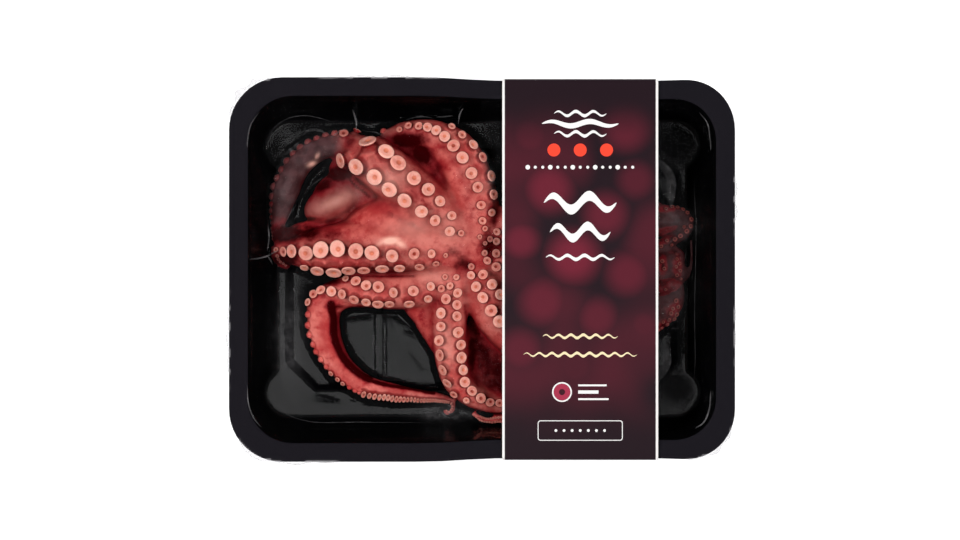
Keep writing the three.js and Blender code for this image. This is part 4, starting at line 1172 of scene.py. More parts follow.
def turn_sucker(profile, segments):
    """Spins the profile round Z with the spin tool. Returns points, faces and the shade of each point."""
    lathe = add_new(bpy.ops.mesh.primitive_plane_add, size=1)
    bpy.ops.object.mode_set(mode="EDIT")
    bpy.ops.mesh.delete(type="VERT")
    edit = bmesh.from_edit_mesh(lathe.data)
    chain = [edit.verts.new((across, 0, up)) for across, up, shade in profile]
    for a, b in zip(chain, chain[1:]):
        edit.edges.new((a, b))
    for element in [*edit.verts, *edit.edges]:
        element.select = True
    bmesh.update_edit_mesh(lathe.data)
    bpy.ops.mesh.spin(steps=segments, angle=2 * math.pi, center=(0, 0, 0), axis=(0, 0, 1))
    bpy.ops.mesh.select_all(action="SELECT")
    bpy.ops.mesh.remove_doubles(threshold=0.001)
    leave_edit_mode()
    points, faces = take_mesh(lathe)
    heights = np.array([(across, up) for across, up, shade in profile])
    shades = []
    for x, y, z in points:
        nearest = np.argmin(np.hypot(heights[:, 0] - math.hypot(x, y), heights[:, 1] - z))
        shades.append(profile[nearest][2])
    return points, faces, shades


FINE = turn_sucker(SUCKER_PROFILE, 22)
PLAIN = turn_sucker(PLAIN_PROFILE, 10)
print("fine sucker", len(FINE[1]), "faces, plain", len(PLAIN[1]))


# %% Set the suckers on the arms
SUCKER_LIFT, SUCKER_DEPTH = 0.08, 0.62  # as shares of the diameter
OUT_OF_ROUND = 0.035
PALEST_SIZE, DARKEST_SIZE = 8, 2  # diameters of the palest and the darkest suckers


def set_suckers(name, chosen, unit):
    points, faces, shades = unit
    across = np.linalg.norm(points[:, :2], axis=1, keepdims=True)
    turns = np.arctan2(points[:, 1:2], points[:, :1])
    all_points, all_faces = [], []
    for point, normal, diameter, dark, forward, narrow in chosen:
        wide, long = 0.5 * diameter * dice.uniform(0.95, 1.05, 2) * [1, narrow]
        stands_at = point + SUCKER_LIFT * diameter * normal
        place = stand_on(stands_at, normal, forward, wide, long, SUCKER_DEPTH * diameter)
        own = points.copy()
        waves = np.sin(2 * turns + dice.uniform(0, 6))
        own[:, :2] *= 1 + OUT_OF_ROUND * across * waves + dice.normal(0, 0.012)
        own[:, :2] += dice.normal(0, 0.09, 2) * np.clip(1.1 - across, 0, 1)
        all_faces += [[len(points) * len(all_points) + i for i in face] for face in faces]
        all_points.append(own @ place[:3, :3].T + place[:3, 3])
    piece = make_piece(name, np.vstack(all_points) * MM, all_faces)
    store(piece, "shade", np.tile(shades, len(chosen)))
    # Suckers in the painted shade spots are darkened too.
    shade_and_stain = 0.7 * spots_at(SHADE_AND_JUICE_SPOTS, np.array([s[0] for s in chosen]))
    store(piece, "dark", np.repeat(np.maximum([s[3] for s in chosen], shade_and_stain), len(points)))
    smallness = np.array([(PALEST_SIZE - s[2]) / (PALEST_SIZE - DARKEST_SIZE) for s in chosen])
    pick = np.clip(0.8 * smallness + dice.uniform(0, 0.6, len(chosen)), 0, 1)
    store(piece, "pick", np.repeat(pick, len(points)))
    shade_smooth(piece)
    return piece


KNOB_SIZE, KNOB_TILT = 4.2, 0.62
FINE_SIZE = 3.6  # diameter from which a sucker is turned with the fine profile


def is_knob(sucker):
    """Small suckers that face sideways show only as knobs along the arm's edge."""
    point, normal, diameter, dark, forward, narrow = sucker
    return narrow == 1 and diameter < KNOB_SIZE and normal[2] < KNOB_TILT


def set_knobs(name, chosen):
    places = [stand_on(point - 0.16 * d * normal, normal, forward, 0.5 * d, 0.54 * d, 0.5 * d)
              for point, normal, d, dark, forward, narrow in chosen]
    points, faces = stamp_balls(places)
    piece = make_piece(name, points * MM, faces)
    darkness = np.repeat([0.75 * s[3] for s in chosen], len(unit_ball))
    same = {"brown": darkness, "deep": 0.2, "oral": 0.2, "slope": 0.85, "groove": -1, "pale": 0, "ring": 2}
    for attribute, values in same.items():
        store(piece, attribute, np.full(len(points), values))
    shade_smooth(piece)
    piece.data.materials.append(flesh_paint.material)
    return piece


open_suckers = [s for s in shown if not is_knob(s)]
big_suckers = set_suckers("suckers_big", [s for s in open_suckers if s[2] >= FINE_SIZE], FINE)
small_suckers = set_suckers("suckers_small", [s for s in open_suckers if s[2] < FINE_SIZE], PLAIN)
knobs = set_knobs("suckers_knobs", [s for s in shown if is_knob(s)])
print(len(big_suckers.data.polygons), len(small_suckers.data.polygons), len(knobs.data.polygons), "faces")

# %% The suckers' material
rim_paint = Paint("octopus_sucker")
shade = rim_paint.attribute("shade")
pick = rim_paint.attribute("pick")
mottle = rim_paint.noise(2.2, detail=3)
pale = rim_paint.blend(pick, rgb(242, 166, 150), rgb(208, 116, 104))
lit = rim_paint.blend(pick, rgb(246, 184, 168), rgb(228, 150, 134))
pale = rim_paint.blend(rim_paint.ramp(mottle, 0.45, 0.7), pale, lit)
pale = rim_paint.blend(rim_paint.ramp(shade, 0.56, 0.74), pale, lit)
pit = rim_paint.blend(rim_paint.ramp(pick, 0.3, 1), rgb(222, 128, 100), rgb(150, 50, 38))
colour = rim_paint.blend(rim_paint.ramp(shade, 0.2, 0.52), pit, pale)
colour = rim_paint.blend(rim_paint.ramp(shade, 0.8, 0.93), colour, rgb(150, 36, 38))
# Suckers on dark arms and in the painted shade spots turn darker, the pit and stalk darkest.
shade_and_stain = rim_paint.blend(rim_paint.ramp(shade, 0.3, 0.6), rgb(66, 8, 10), rgb(132, 64, 58))
shade_and_stain = rim_paint.blend(rim_paint.ramp(shade, 0.72, 0.9), shade_and_stain, rgb(74, 10, 14))
colour = rim_paint.blend(rim_paint.ramp_of("dark", 0.15, 0.95), colour, shade_and_stain)
rim_paint.set(
    Base_Color=colour, Roughness=0.4, Subsurface_Weight=0.15, Subsurface_Scale=1.5 * MM,
    Subsurface_Radius=(1, 0.4, 0.3), Coat_Weight=0.15, Coat_Roughness=0.15)
rim_paint.bump(rim_paint.noise(0.9, detail=3), 0.3, 0.12)
for piece in (big_suckers, small_suckers):
    piece.data.materials.append(rim_paint.material)

# %% [markdown]
# ## The film
# In skin packing a warm, soft film is sucked down over food and tray alike and sealed to the flange. It
# clings to everything that it meets, bridges the narrow gaps, and leaves fine folds where it is caught.
# So it starts as a flat sheet over the flange, sinks by a steady pull, and stops where it lands: at
# each pass a point goes to the mean of its neighbours, less the pull, but never below what lies there.

# %% What the film lands on
def highest_around(field):
    """Each height raised to the highest of the nine around it, so that the film clears steep sides."""
    padded = np.pad(field, 1, mode="edge")
    rows, columns = field.shape
    return np.max([padded[j:j + rows, i:i + columns] for j in range(3) for i in range(3)], axis=0)


FOLDS = [  # creases in the film where it lies on the floor: from, to, and height
    ((-68, -26), (-62, -24.8), 0.7), ((-62, -24.8), (-57, -23.4), 0.9),
    ((-50, -24.3), (-44.5, -24.2), 0.7), ((-44.5, -24.2), (-40, -27.5), 0.8),
    ((-40, -27.5), (-35.5, -29), 0.6), ((-38.5, -31), (-33, -34), 0.7), ((-25, -49.5), (-20.5, -55), 0.8),
    ((-64, -21), (-56, -21.8), 0.5), ((-37, -24), (-30, -31), 0.6), ((-99, -28), (-96, -36), 0.7),
    ((-84, -63), (-72, -66.5), 0.7), ((-66, -66.3), (-38, -68), 0.8),
]
FOLD_WIDTH = 0.8


def raise_folds(field, ground):
    xs, ys = np.meshgrid(map_xs, map_ys)
    for (x0, y0), (x1, y1), high in FOLDS:
        long = math.hypot(x1 - x0, y1 - y0)
        along = np.clip(((xs - x0) * (x1 - x0) + (ys - y0) * (y1 - y0)) / long**2, 0, 1)
        aside = np.hypot(xs - x0 - along * (x1 - x0), ys - y0 - along * (y1 - y0))
        taper = np.sin(np.pi * np.clip(along, 0.05, 0.95)) ** 0.5
        ridge = high * taper * np.exp(-(aside / FOLD_WIDTH) ** 2)
        field = np.maximum(field, np.where(ridge > 0.1, ground + ridge, 0))
    return field


PULL = 1.8
PASSES = 700
tray_heights = heights_of([tray], FLANGE_TOP)
sucker_heights = heights_of([big_suckers, small_suckers, knobs], 0)
flesh_heights = np.maximum(np.where(skin_heights > PANEL, skin_heights, 0), sucker_heights)
landing = highest_around(np.maximum(tray_heights, flesh_heights))
landing = raise_folds(landing, landing)
film_heights = np.full_like(landing, FLANGE_TOP)
for _ in range(PASSES):
    film_heights = np.maximum(landing, four_around(film_heights) / 4 - PULL)
film_heights = np.minimum(film_heights + GAP, FLANGE_TOP + GAP)
print("film from", film_heights.min().round(1), "to", film_heights.max().round(1), "mm")

# %% [markdown]
# The film is a grid laid over the tray. What hangs past the flange is cut off along a slightly ragged
# line, since the film is cut after sealing and never quite on the edge.

# %% The film's cut edge
OVERHANG = [  # where film shows past the flange: the middle of the scrap, how far it goes, how long it is
    ((-117, 88), 5, 12), ((-125, -35), 2, 20), ((-95, -95), 2, 22), ((-50, 95), 1.6, 30),
    ((125, 34), 2, 14), ((118, -90), 2.6, 14), ((-113, -93), 2.4, 12), ((125, -30), 1, 20),
]
FILM_INSET = 0.4
ONTO_EDGE, CUT_OFF = 0.6, 0.75  # from how far inside points move onto the cut, and how far outside they go


def past_flange(points):
    """How far points lie outside the flange's rounded outline, in mm, and the direction outwards."""
    reach = np.abs(points[:, :2]) - [TRAY_LENGTH / 2 - FLANGE_CORNER, TRAY_WIDTH / 2 - FLANGE_CORNER]
    reach[:, 1] += pinch_at(points[:, 0])
    outer = np.maximum(reach, 0)
    far = np.linalg.norm(outer, axis=1)
    distance = far + np.minimum(reach.max(axis=1), 0) - FLANGE_CORNER
    side = np.where(reach[:, 0] > reach[:, 1], 1.0, 0.0)
    square_on = np.column_stack([side, 1 - side])
    away = np.where(far[:, None] > 0, outer / np.maximum(far, 1e-6)[:, None], square_on)
    return distance, away * np.sign(points[:, :2])


def film_edge(points):
    """How far past the flange the film reaches near each point."""
    reach = np.full(len(points), -FILM_INSET)
    for (x, y), far, long in OVERHANG:
        near = np.exp(-((points[:, 0] - x) ** 2 + (points[:, 1] - y) ** 2) / long**2)
        ragged = 0.7 + 0.3 * np.sin(points[:, 0] * 0.35 + points[:, 1] * 0.5)
        reach = np.maximum(reach, near * ragged * far - FILM_INSET)
    return reach


squares = {"x_subdivisions": len(map_xs) - 1, "y_subdivisions": len(map_ys) - 1}
film = add_new(bpy.ops.mesh.primitive_grid_add, size=2, **squares)
film.name = "film_sheet"
film_points = points_of(film) * [MAP_HALF_X, MAP_HALF_Y, 1]
film_points[:, 2] = read_map(film_heights, film_points)
distance, away = past_flange(film_points)
spare = distance - film_edge(film_points)
near_edge = spare > -ONTO_EDGE * MAP_STEP
film_points[near_edge, :2] -= away[near_edge] * spare[near_edge, None]
move_points(film, film_points * MM)
bpy.ops.object.mode_set(mode="EDIT")
bpy.ops.mesh.select_mode(type="VERT")
bpy.ops.mesh.select_all(action="DESELECT")
edit = bmesh.from_edit_mesh(film.data)
for vertex, far in zip(edit.verts, spare):
    vertex.select = bool(far > CUT_OFF * MAP_STEP)
bmesh.update_edit_mesh(film.data)
bpy.ops.mesh.delete(type="VERT")
bpy.ops.object.mode_set(mode="OBJECT")
film_points = points_of(film) / MM
print("film", len(film.data.polygons), "faces")

# %% Where the film is clear and where it is cloudy
CLOUDY = [  # X, Y, long and wide half size, turn and strength of where the film is creased and milky
    (-84, 58, 16, 8, 25, 0.02), (-98, 36, 6, 28, 0, 0.02), (-58, 44, 14, 8, 0, 0.02),
    (-17, -71, 12, 4, 0, 0.05), (96, 22, 10, 10, 0, 0.03), (96, -12, 8, 14, 0, 0.03),
    (6, 52, 6, 14, 0, 0.04), (-96, -34, 6, 22, 0, 0.045),
]
LIFTED = [  # the same for the places where it stands just off the tray, so that they lie black
    (-88, -15, 4.4, 13, 0, 1.4), (-86, 72.5, 11, 4, 0, 1.3), (-105, 58, 4, 9, -20, 1.3),
    (98, 63, 11, 11, 0, 1.5), (97, -59, 9, 8, 0, 1.5), (84.5, 38, 4, 14, 0, 1.4), (100, 28, 3, 16, 0, 1.4),
    (100, -34, 3, 12, 0, 1.4), (-78, -65.6, 6, 1.2, -8, 1.3), (-22, -72.5, 7, 2.2, 0, 1.3),
    (-45, -67.6, 12, 0.8, -3, 1), (8, 62, 8, 16, 0, 1.5), (-40, 78, 60, 4, 0, 0.6),
]
CREASES = [  # the same along lines
    (0.8, 1.1, ((-68, -26), (-62, -25), (-57, -24.8), (-53, -23.6))),
    (0.7, 1, ((-62, -23), (-58.5, -24), (-54, -21))),
    (0.8, 1.1, ((-49.5, -24.4), (-45, -24.2), (-41, -27), (-36, -29), (-32, -32))),
    (0.7, 1, ((-39, -31.5), (-34, -34))), (0.8, 1.1, ((-25, -49.5), (-22.6, -53), (-20, -56))),
    (0.8, 1, ((-46, -57), (-33, -57.6), (-21, -57.2))), (0.7, 0.9, ((-46, -24), (-44.6, -29.5))),
    (0.7, 0.9, ((-36, -42), (-30, -50))),
]
lifted = np.clip(np.maximum(spots_at(LIFTED, film_points), strokes_at(CREASES, film_points)), 0, 1)
distance, away = past_flange(film_points)
store(film, "haze", spots_at(CLOUDY, film_points))
on_tray = film_points[:, 2] - read_map(highest_around(tray_heights), film_points)
on_flesh = film_points[:, 2] - read_map(highest_around(flesh_heights), film_points)
by_flesh = read_map(blurred(np.where(flesh_heights > 0, 1.0, 0), 14), film_points)
level = smooth_step(0.7, 0.95, read_vertices(film, "normal")[:, 2])
store(film, "on_tray", (1 - smooth_step(0.5, 1.4, on_tray)) * level * (1 - lifted))
store(film, "on_flesh", 1 - smooth_step(0.6, 2.5, on_flesh))
store(film, "by_flesh", smooth_step(0, 0.2, by_flesh))
store(film, "sealed", np.clip((film_points[:, 2] - FLANGE_TOP + 0.6) / 0.6, 0, 1))
store(film, "scrap", np.clip(distance / 0.3, 0, 1))
FILM = 0.12
apply_modifier(film, "SOLIDIFY", thickness=FILM * MM, offset=1)
shade_smooth(film)
print("film box", *box_of(film))

# %% [markdown]
# Where an arm's tip or the tray's corner holds the film, it stands up in sharp little pleats that look
# like white hairs. Each is a thin ridge along a few points, drawn out to nothing at both ends.

# %% The pleats in the film
PLEATS = [  # width, height, how milky, and the points that the crest runs through
    (0.9, 2.5, 0.3, ((-62.6, 69), (-62.9, 74), (-63.6, 77), (-64.4, 79.5))),
    (0.8, 2, 0.3, ((-11.8, 72.5), (-11.4, 76), (-10.6, 78.3), (-9.3, 80.2))),
    (0.6, 1, 0.2, ((-23, 76), (-18, 76.4), (-14.4, 76.8))),
    (0.5, 0.8, 0.12, ((-38, 74.2), (-33, 76), (-28.5, 76.2), (-24, 75.3))),
    (0.8, 1.6, 0.25, ((-101, 10), (-106, 7.2), (-110.5, 5.6), (-115, 5))),
    (0.7, 1.2, 0.2, ((-107, 6.8), (-105.4, 4.6), (-104.6, 2.4))),
    (0.7, 1, 0.16, ((-106.6, 22), (-106.2, 16), (-107, 9))),
    (0.35, 0.5, 0.12, ((-108.5, 61), (-104.5, 70), (-98, 75), (-89, 76.8), (-81, 75.6), (-72.5, 73))),
    (1.6, 0.6, 0.05, ((-104.5, 56), (-99, 57.5), (-93, 61.5), (-90, 65))),
    (1.4, 0.6, 0.05, ((-90.5, 66.5), (-86.5, 69.6), (-81, 69.4), (-77, 67))),
    (0.6, 1, 0.16, ((-110.3, 77.5), (-114.2, 71.5), (-115.8, 64), (-116, 60))),
    (0.6, 1, 0.16, ((-116, -57), (-115.4, -66), (-113, -73), (-109.5, -77.5))),
    (0.6, 1, 0.16, ((107.5, 77.5), (111.3, 72.5), (113, 64), (113.2, 59))),
    (0.7, 1, 0.18, ((113.2, -60), (112.4, -69), (109.6, -75.5), (105.5, -78.5))),
    (0.3, 0.5, 0.1, ((-104, -60), (-99, -71), (-88, -75.6), (-60, -76.2), (-30, -76.4))),
    (0.3, 0.5, 0.1, ((105.6, 45), (106.6, 20), (106, -20), (105.8, -55), (103, -66))),
    (0.5, 0.8, 0.14, ((-19, -66.5), (-13, -69.8), (-8, -71.5))),
    (0.4, 0.7, 0.12, ((-24, -68), (-17, -74.5))), (0.5, 0.8, 0.1, ((101.3, 14), (101.8, 10), (101.2, 5))),
    (0.5, 0.7, 0.1, ((94, -29.6), (99, -29.4))), (0.4, 0.6, 0.12, ((-2, 70), (3, 73), (9, 74))),
    (0.6, 0.8, 0.1, ((1, 69), (4, 66), (5, 60), (3.5, 54))),
    (0.5, 0.8, 0.12, ((-67, 70.6), (-72, 68), (-76, 65))),
    (0.5, 0.7, 0.1, ((-60, 69.5), (-52, 68), (-47, 65))),
    (5.6, 0.2, 0.06, ((84, 57), (90.4, 51.5), (94, 45), (94.4, 38), (94.2, 31))),
    (5.4, 0.2, 0.06, ((93, -40), (91.6, -47), (88, -56))),
    (0.5, 0.7, 0.1, ((-79, 46), (-85, 42), (-89, 38))),
    (0.5, 0.6, 0.08, ((-92, 33), (-95.5, 28), (-97, 25))),
]


PLEAT_ROOT, LEAST_PLEAT = 0.2, 0.25  # how deep a pleat reaches into the film, and its least height


def build_pleats():
    points, faces, milky = [], [], []
    for width, high, milk, crest in PLEATS:
        line, shares = curve_points(np.array([(x, y, 0) for x, y in crest], float))
        taper = np.sin(np.pi * np.clip(shares / shares[-1], 0.01, 0.99)) ** 0.7
        aside = np.cross(np.gradient(line, axis=0), [0, 0, 1])
        aside *= (width / 2 * taper / np.linalg.norm(aside, axis=1))[:, None]
        foot = read_map(film_heights, line) - PLEAT_ROOT
        first = len(points)
        for middle, to_side, z, size in zip(line, aside, foot, taper):
            base = middle + [0, 0, z]
            points += [base - to_side, base + [0, 0, LEAST_PLEAT + high * size], base + to_side]
        for k in range(first, len(points) - 3, 3):
            faces += [(k, k + 3, k + 4, k + 1), (k + 1, k + 4, k + 5, k + 2), (k + 2, k + 5, k + 3, k)]
        faces += [(first, first + 1, first + 2), (len(points) - 1, len(points) - 2, len(points) - 3)]
        milky += [milk] * (len(points) - first)
    piece = make_piece("film_pleats", np.array(points) * MM, faces)
    store(piece, "haze", milky)
    make_active(piece)
    bpy.ops.object.mode_set(mode="EDIT")
    leave_edit_mode()
    return piece


pleats = build_pleats()
print("pleats", len(pleats.data.polygons), "faces")

# %% [markdown]
# The film's material lets light straight through and mirrors the lamps as clear plastic does, more at
# a grazing angle. Where it is creased it scatters a little light, broken up into fine streaks.

# %% The film's material
clear = Paint("clear_film")
clear.tree.nodes.remove(clear.shader)
see_through = clear.add("ShaderNodeBsdfTransparent", i0=(0.97, 0.97, 0.97, 1))
mirror = clear.add("ShaderNodeBsdfGlossy", i0=(1, 1, 1, 1))
mirror.inputs["Roughness"].default_value = 0.09
milk = clear.add("ShaderNodeBsdfDiffuse", i0=(0.62, 0.6, 0.62, 1))
crumple = clear.noise(5, detail=6, roughness=0.72, stretch=(1, 1, 0.5))
fine = clear.relief(crumple, 0.35, 0.5)
clear.join(fine, mirror.inputs["Normal"])
edge_on = clear.add("ShaderNodeLayerWeight", i0=0.5, Normal=fine)
on_flesh, on_tray = clear.attribute("on_flesh"), clear.attribute("on_tray")
steep = clear.maths("POWER", edge_on.outputs["Facing"], 5)
by_flesh = clear.attribute("by_flesh")
steep = clear.maths("MULTIPLY", steep, clear.between(by_flesh, 0.12, 0.02))
flat = clear.between(on_tray, 0.003, 0.026)
flat = clear.maths("MULTIPLY", flat, clear.between(on_flesh, 1, 0.5))
shine = clear.maths("ADD", steep, flat)
loose = clear.maths("SUBTRACT", 1, clear.attribute("sealed"))
body = clear.add("ShaderNodeMixShader", i0=clear.maths("MULTIPLY", shine, loose), i1=see_through, i2=mirror)
streaks = clear.ramp(crumple, 0.42, 0.72)
cloudy = clear.maths("MULTIPLY", clear.attribute("haze"), clear.maths("ADD", streaks, 0.4))
cloudy = clear.maths("MAXIMUM", cloudy, clear.maths("MULTIPLY", clear.attribute("scrap"), 0.35))
whole = clear.add("ShaderNodeMixShader", i0=cloudy, i1=body, i2=milk)
clear.join(whole, clear.output.inputs["Surface"])
film.data.materials.append(clear.material)
pleats.data.materials.append(clear.material)

# %% [markdown]
# ## The sleeve
# The sleeve is one strip of card, folded at six creases and glued under the tray: two at the top, two
# below the flange, from where the sides slope in, and two at the base. A cube takes this section,
# loses its two open ends, and gets soft creases and the thickness of the card.

# %% Fold the card
FILM_ROOM = 0.25  # thickness that the sealed film takes up under the card
CARD_PLAY = 0.1
SLEEVE_TOP = FLANGE_TOP + GAP + FILM_ROOM + GAP + CARD_PLAY  # inside of the top panel
PRINT_MIDDLE = (SLEEVE_LEFT + SLEEVE_RIGHT) / 2
SLEEVE_HALF_TOP = TRAY_WIDTH / 2 - PINCH + GAP
SLEEVE_HALF_BASE = 77
SLEEVE_LIP = FLANGE_TOP - SHEET - 0.5  # the card stands upright down to here, round the flange's edge
FOLD_RADIUS = 1


def select_edges(piece, wanted):
    """Selects the edges that the test accepts, in edit mode."""
    bpy.ops.mesh.select_mode(type="EDGE")
    bpy.ops.mesh.select_all(action="DESELECT")
    edit = bmesh.from_edit_mesh(piece.data)
    for edge in edit.edges:
        edge.select = bool(wanted(edge.verts[0].co / MM, edge.verts[1].co / MM))
    bmesh.update_edit_mesh(piece.data)


sleeve = add_new(bpy.ops.mesh.primitive_cube_add, size=2)
sleeve.name = "sleeve_band"
for vertex in sleeve.data.vertices:
    right, far, high = (c > 0 for c in vertex.co)
    half = SLEEVE_HALF_TOP if high else SLEEVE_HALF_BASE
    x, y, z = SLEEVE_RIGHT if right else SLEEVE_LEFT, half if far else -half, SLEEVE_TOP if high else CARD
    vertex.co = Vector((x, y, z)) * MM
bpy.ops.object.mode_set(mode="EDIT")
bpy.ops.mesh.select_mode(type="FACE")
bpy.ops.mesh.select_all(action="DESELECT")
edit = bmesh.from_edit_mesh(sleeve.data)
edit.normal_update()
for face in edit.faces:
    face.select = abs(face.normal.x) > 0.9
bmesh.update_edit_mesh(sleeve.data)
bpy.ops.mesh.delete(type="FACE")
select_edges(sleeve, lambda a, b: abs(a.z - b.z) > 1)
bpy.ops.mesh.subdivide(number_cuts=1)
edit = bmesh.from_edit_mesh(sleeve.data)
for vertex in edit.verts:
    if CARD + 1 < vertex.co.z / MM < SLEEVE_TOP - 1:
        vertex.co.y = math.copysign(SLEEVE_HALF_TOP * MM, vertex.co.y)
        vertex.co.z = SLEEVE_LIP * MM
bmesh.update_edit_mesh(sleeve.data)
select_edges(sleeve, lambda a, b: abs(a.x - b.x) > 1)
bpy.ops.mesh.bevel(offset=FOLD_RADIUS * MM, segments=4)
leave_edit_mode()
top_outwards(sleeve)
apply_modifier(sleeve, "SOLIDIFY", thickness=CARD * MM, offset=1)

FLAP_WIDTH, FLAP_MIDDLE = 20, -24  # the glued flap under the tray, across and along Y
flap = add_box(
    (PRINT_MIDDLE, FLAP_MIDDLE, 1.25 * CARD), (SLEEVE_RIGHT - SLEEVE_LEFT, FLAP_WIDTH, 1.5 * CARD))
join_pieces(sleeve, flap)
bpy.ops.object.shade_smooth_by_angle(angle=math.radians(35))
print("sleeve box", *box_of(sleeve))

# %% [markdown]
# The card is printed a dark plum, with large soft discs of wine red as if of lights out of focus, and
# a thin white line along each cut edge. The discs are drawn by their distance from a few middles.

# %% The printed card
DISCS = [  # X, Y, radius, strength
    (71, 71, 13, 0.85), (49, 78, 8, 0.35), (24, 66, 11, 0.5), (76, 44, 10, 0.4), (33, 40, 13, 0.75),
    (61, 27, 12, 0.6), (19, 14, 10, 0.7), (45, 6, 14, 0.9), (72, -2, 12, 0.55), (30, -16, 13, 0.6),
    (57, -24, 11, 0.5), (80, -28, 9, 0.35), (19, -40, 12, 0.5), (46, -48, 13, 0.3),
]
EDGE_LINE = 1.2

card = Paint("printed_card")
place = card.add("ShaderNodeSeparateXYZ", i0=card.place())
glow = 0.0
for x, y, radius, strength in DISCS:
    middle = (x * MM, y * MM, SLEEVE_TOP * MM)
    to_middle = card.add("ShaderNodeVectorMath", {"operation": "DISTANCE"}, i0=card.place(), i1=middle)
    soft = card.ramp(to_middle.outputs["Value"], radius * 1.3 * MM, radius * 0.3 * MM)
    glow = card.maths("MAXIMUM", card.maths("MULTIPLY", soft, strength), glow)
wide_glow = card.maths("MULTIPLY", card.ramp(card.noise(45, detail=1), 0.4, 0.7), 0.35)
glow = card.maths("MAXIMUM", glow, wide_glow)
middle_band = card.ramp(card.maths("ABSOLUTE", place.outputs[1]), 88 * MM, 50 * MM)
glow = card.maths("MULTIPLY", glow, middle_band)
plum = card.blend(glow, rgb(34, 22, 28), rgb(112, 34, 50))
from_middle = card.maths("ABSOLUTE", card.maths("SUBTRACT", place.outputs[0], PRINT_MIDDLE * MM))
edge_start = ((SLEEVE_RIGHT - SLEEVE_LEFT) / 2 - EDGE_LINE) * MM
on_edge = card.ramp(from_middle, edge_start - 0.1 * MM, edge_start + 0.1 * MM)
card.set(
    Base_Color=card.blend(on_edge, plum, rgb(232, 228, 226)), Roughness=0.42, Specular_IOR_Level=0.25)
card.bump(card.noise(0.9, detail=2), 0.12, 0.05)
sleeve.data.materials.append(card.material)

# %% [markdown]
# The light print on top is cut from flat shapes, as inks are laid over the plum one at a time. It is a
# design of its own: waves, a row of bubbles, three coral discs, a buoy, a few rules, and a rounded
# frame with dots in it.

# %% Helpers for the print
PRINT_HEIGHT = 0.03


def circle_line(x, y, radius, count=40):
    turns = np.linspace(0, 2 * math.pi, count, endpoint=False)
    return [(x + radius * math.cos(t), y + radius * math.sin(t)) for t in turns]


def wave_band(x, y, length, waves, height, thick):
    """The outline of a wavy ribbon, thickest in its middle, with its middle at x and y."""
    shares = np.linspace(0, 1, 24 * waves + 1)
    middle = [(x - length / 2 + length * s, y + height * math.sin(2 * math.pi * waves * s)) for s in shares]
    half = [thick / 2 * math.sin(math.pi * s) ** 0.5 + 0.05 for s in shares]
    upper = [(px, py + h) for (px, py), h in zip(middle, half)]
    lower = [(px, py - h) for (px, py), h in zip(middle, half)]
    return upper + lower[::-1]


def rule(x, y, length, thick):
    return [(x - length / 2, y - thick / 2), (x + length / 2, y - thick / 2),
            (x + length / 2, y + thick / 2), (x - length / 2, y + thick / 2)]


def round_frame(x, y, half_x, half_y, corner):
    points = []
    for quarter, (sx, sy) in enumerate(((1, 1), (-1, 1), (-1, -1), (1, -1))):
        for t in np.linspace(0, math.pi / 2, 7) + quarter * math.pi / 2:
            corner_x, corner_y = x + sx * (half_x - corner), y + sy * (half_y - corner)
            points.append((corner_x + corner * math.cos(t), corner_y + corner * math.sin(t)))
    return points


def print_shapes(name, shapes, colour):
    """Fills closed lines flat on the sleeve's top. A line inside another one is a hole in it."""
    drawing = add_new(bpy.ops.curve.primitive_bezier_circle_add)
    drawing.name = name
    drawing.data.splines.clear()
    drawing.data.dimensions = "2D"
    drawing.data.fill_mode = "BOTH"
    drawing.data.extrude = PRINT_HEIGHT / 2 * MM
    for shape in shapes:
        spline = drawing.data.splines.new("POLY")
        spline.points.add(len(shape) - 1)
        for point, (x, y) in zip(spline.points, shape):
            point.co = (x * MM, y * MM, 0, 1)
        spline.use_cyclic_u = True
    bpy.ops.object.convert(target="MESH")
    drawing.location.z = (SLEEVE_TOP + CARD + PRINT_HEIGHT / 2) * MM
    apply_place()
    ink = Paint(name)
    ink.set(Base_Color=colour, Roughness=0.45)
    drawing.data.materials.append(ink.material)
    return drawing


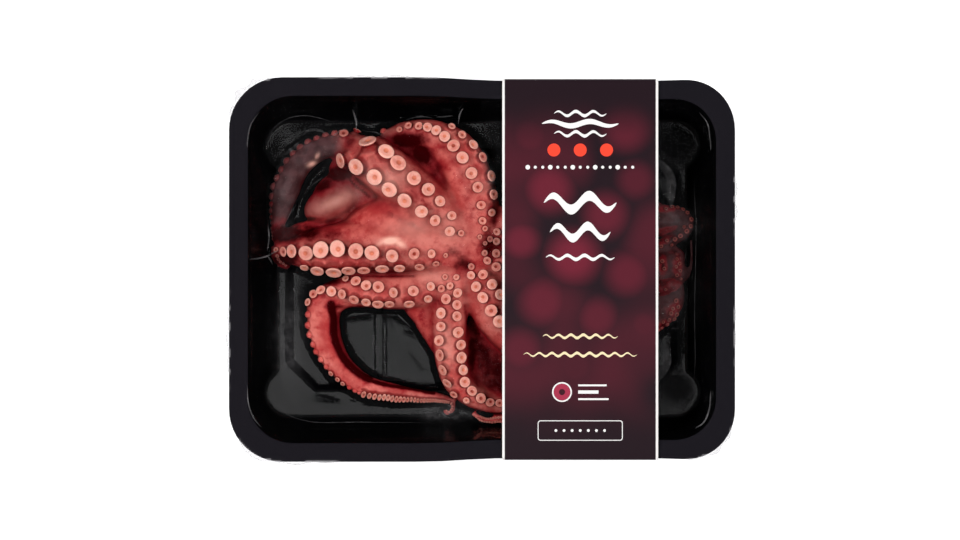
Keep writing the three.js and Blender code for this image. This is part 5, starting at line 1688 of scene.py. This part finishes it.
# %% Print the sleeve
white_shapes = []
for row, (length, thick) in enumerate(((26, 1.5), (38, 2.6), (26, 1.5))):
    white_shapes.append(wave_band(PRINT_MIDDLE, 77 - 5 * row, length, 3 - row % 2, 1.1, thick))
for k in range(15):
    white_shapes.append(circle_line(PRINT_MIDDLE + (k - 7) * 3.7, 50.5, 0.75 if k % 3 else 1.15, 20))
white_shapes += [
    wave_band(PRINT_MIDDLE, 33, 36, 2, 3.4, 5), wave_band(PRINT_MIDDLE, 18.5, 30, 2, 3, 4.4),
    wave_band(PRINT_MIDDLE, 6, 34, 4, 1, 1.7),
]
cream_shapes = [
    wave_band(PRINT_MIDDLE, -33, 37, 6, 0.8, 1.3), wave_band(PRINT_MIDDLE, -42, 56, 9, 0.8, 1.3)]
FRAME_MIDDLE = -79.5
white_shapes += [
    round_frame(PRINT_MIDDLE, FRAME_MIDDLE, *sizes) for sizes in ((21, 5, 1.4), (20.6, 4.6, 1.1))]
white_shapes += [circle_line(PRINT_MIDDLE + (k - 3) * 4, FRAME_MIDDLE, 0.7, 16) for k in range(7)]
BUOY = (PRINT_MIDDLE - 9, -60.5)
white_shapes += [circle_line(*BUOY, 4.9), circle_line(*BUOY, 4.2)]
white_shapes += [
    rule(PRINT_MIDDLE + x, y, length, thick)
    for x, y, length, thick in ((6, -57.2, 14, 0.9), (4, -60.5, 10, 1.6), (6.5, -64, 15, 0.9))]
wine_shapes = [circle_line(*BUOY, 4.1), circle_line(*BUOY, 1.5)]
coral_shapes = [circle_line(PRINT_MIDDLE + k * 13, 59, 3.2) for k in (-1, 0, 1)]
prints = [
    print_shapes("print_white", white_shapes, rgb(236, 234, 232)),
    print_shapes("print_cream", cream_shapes, rgb(238, 220, 178)),
    print_shapes("print_wine", wine_shapes, rgb(160, 48, 72)),
    print_shapes("print_coral", coral_shapes, rgb(240, 70, 48)),
]
print("print", [len(p.data.polygons) for p in prints], "faces")

# %% [markdown]
# ## Finish
# Every piece rides on the one body and stands for its solid, which is hidden.

# %% Hand the pieces to the frame
for piece, node in (
    (tray, "tray"), *((piece, "octopus") for piece in (skin, big_suckers, small_suckers, knobs)),
    (film, "film"), (pleats, "film"), (sleeve, "sleeve"), *((shape, "sleeve") for shape in prints),
):
    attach(piece, "root")
    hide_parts(node)
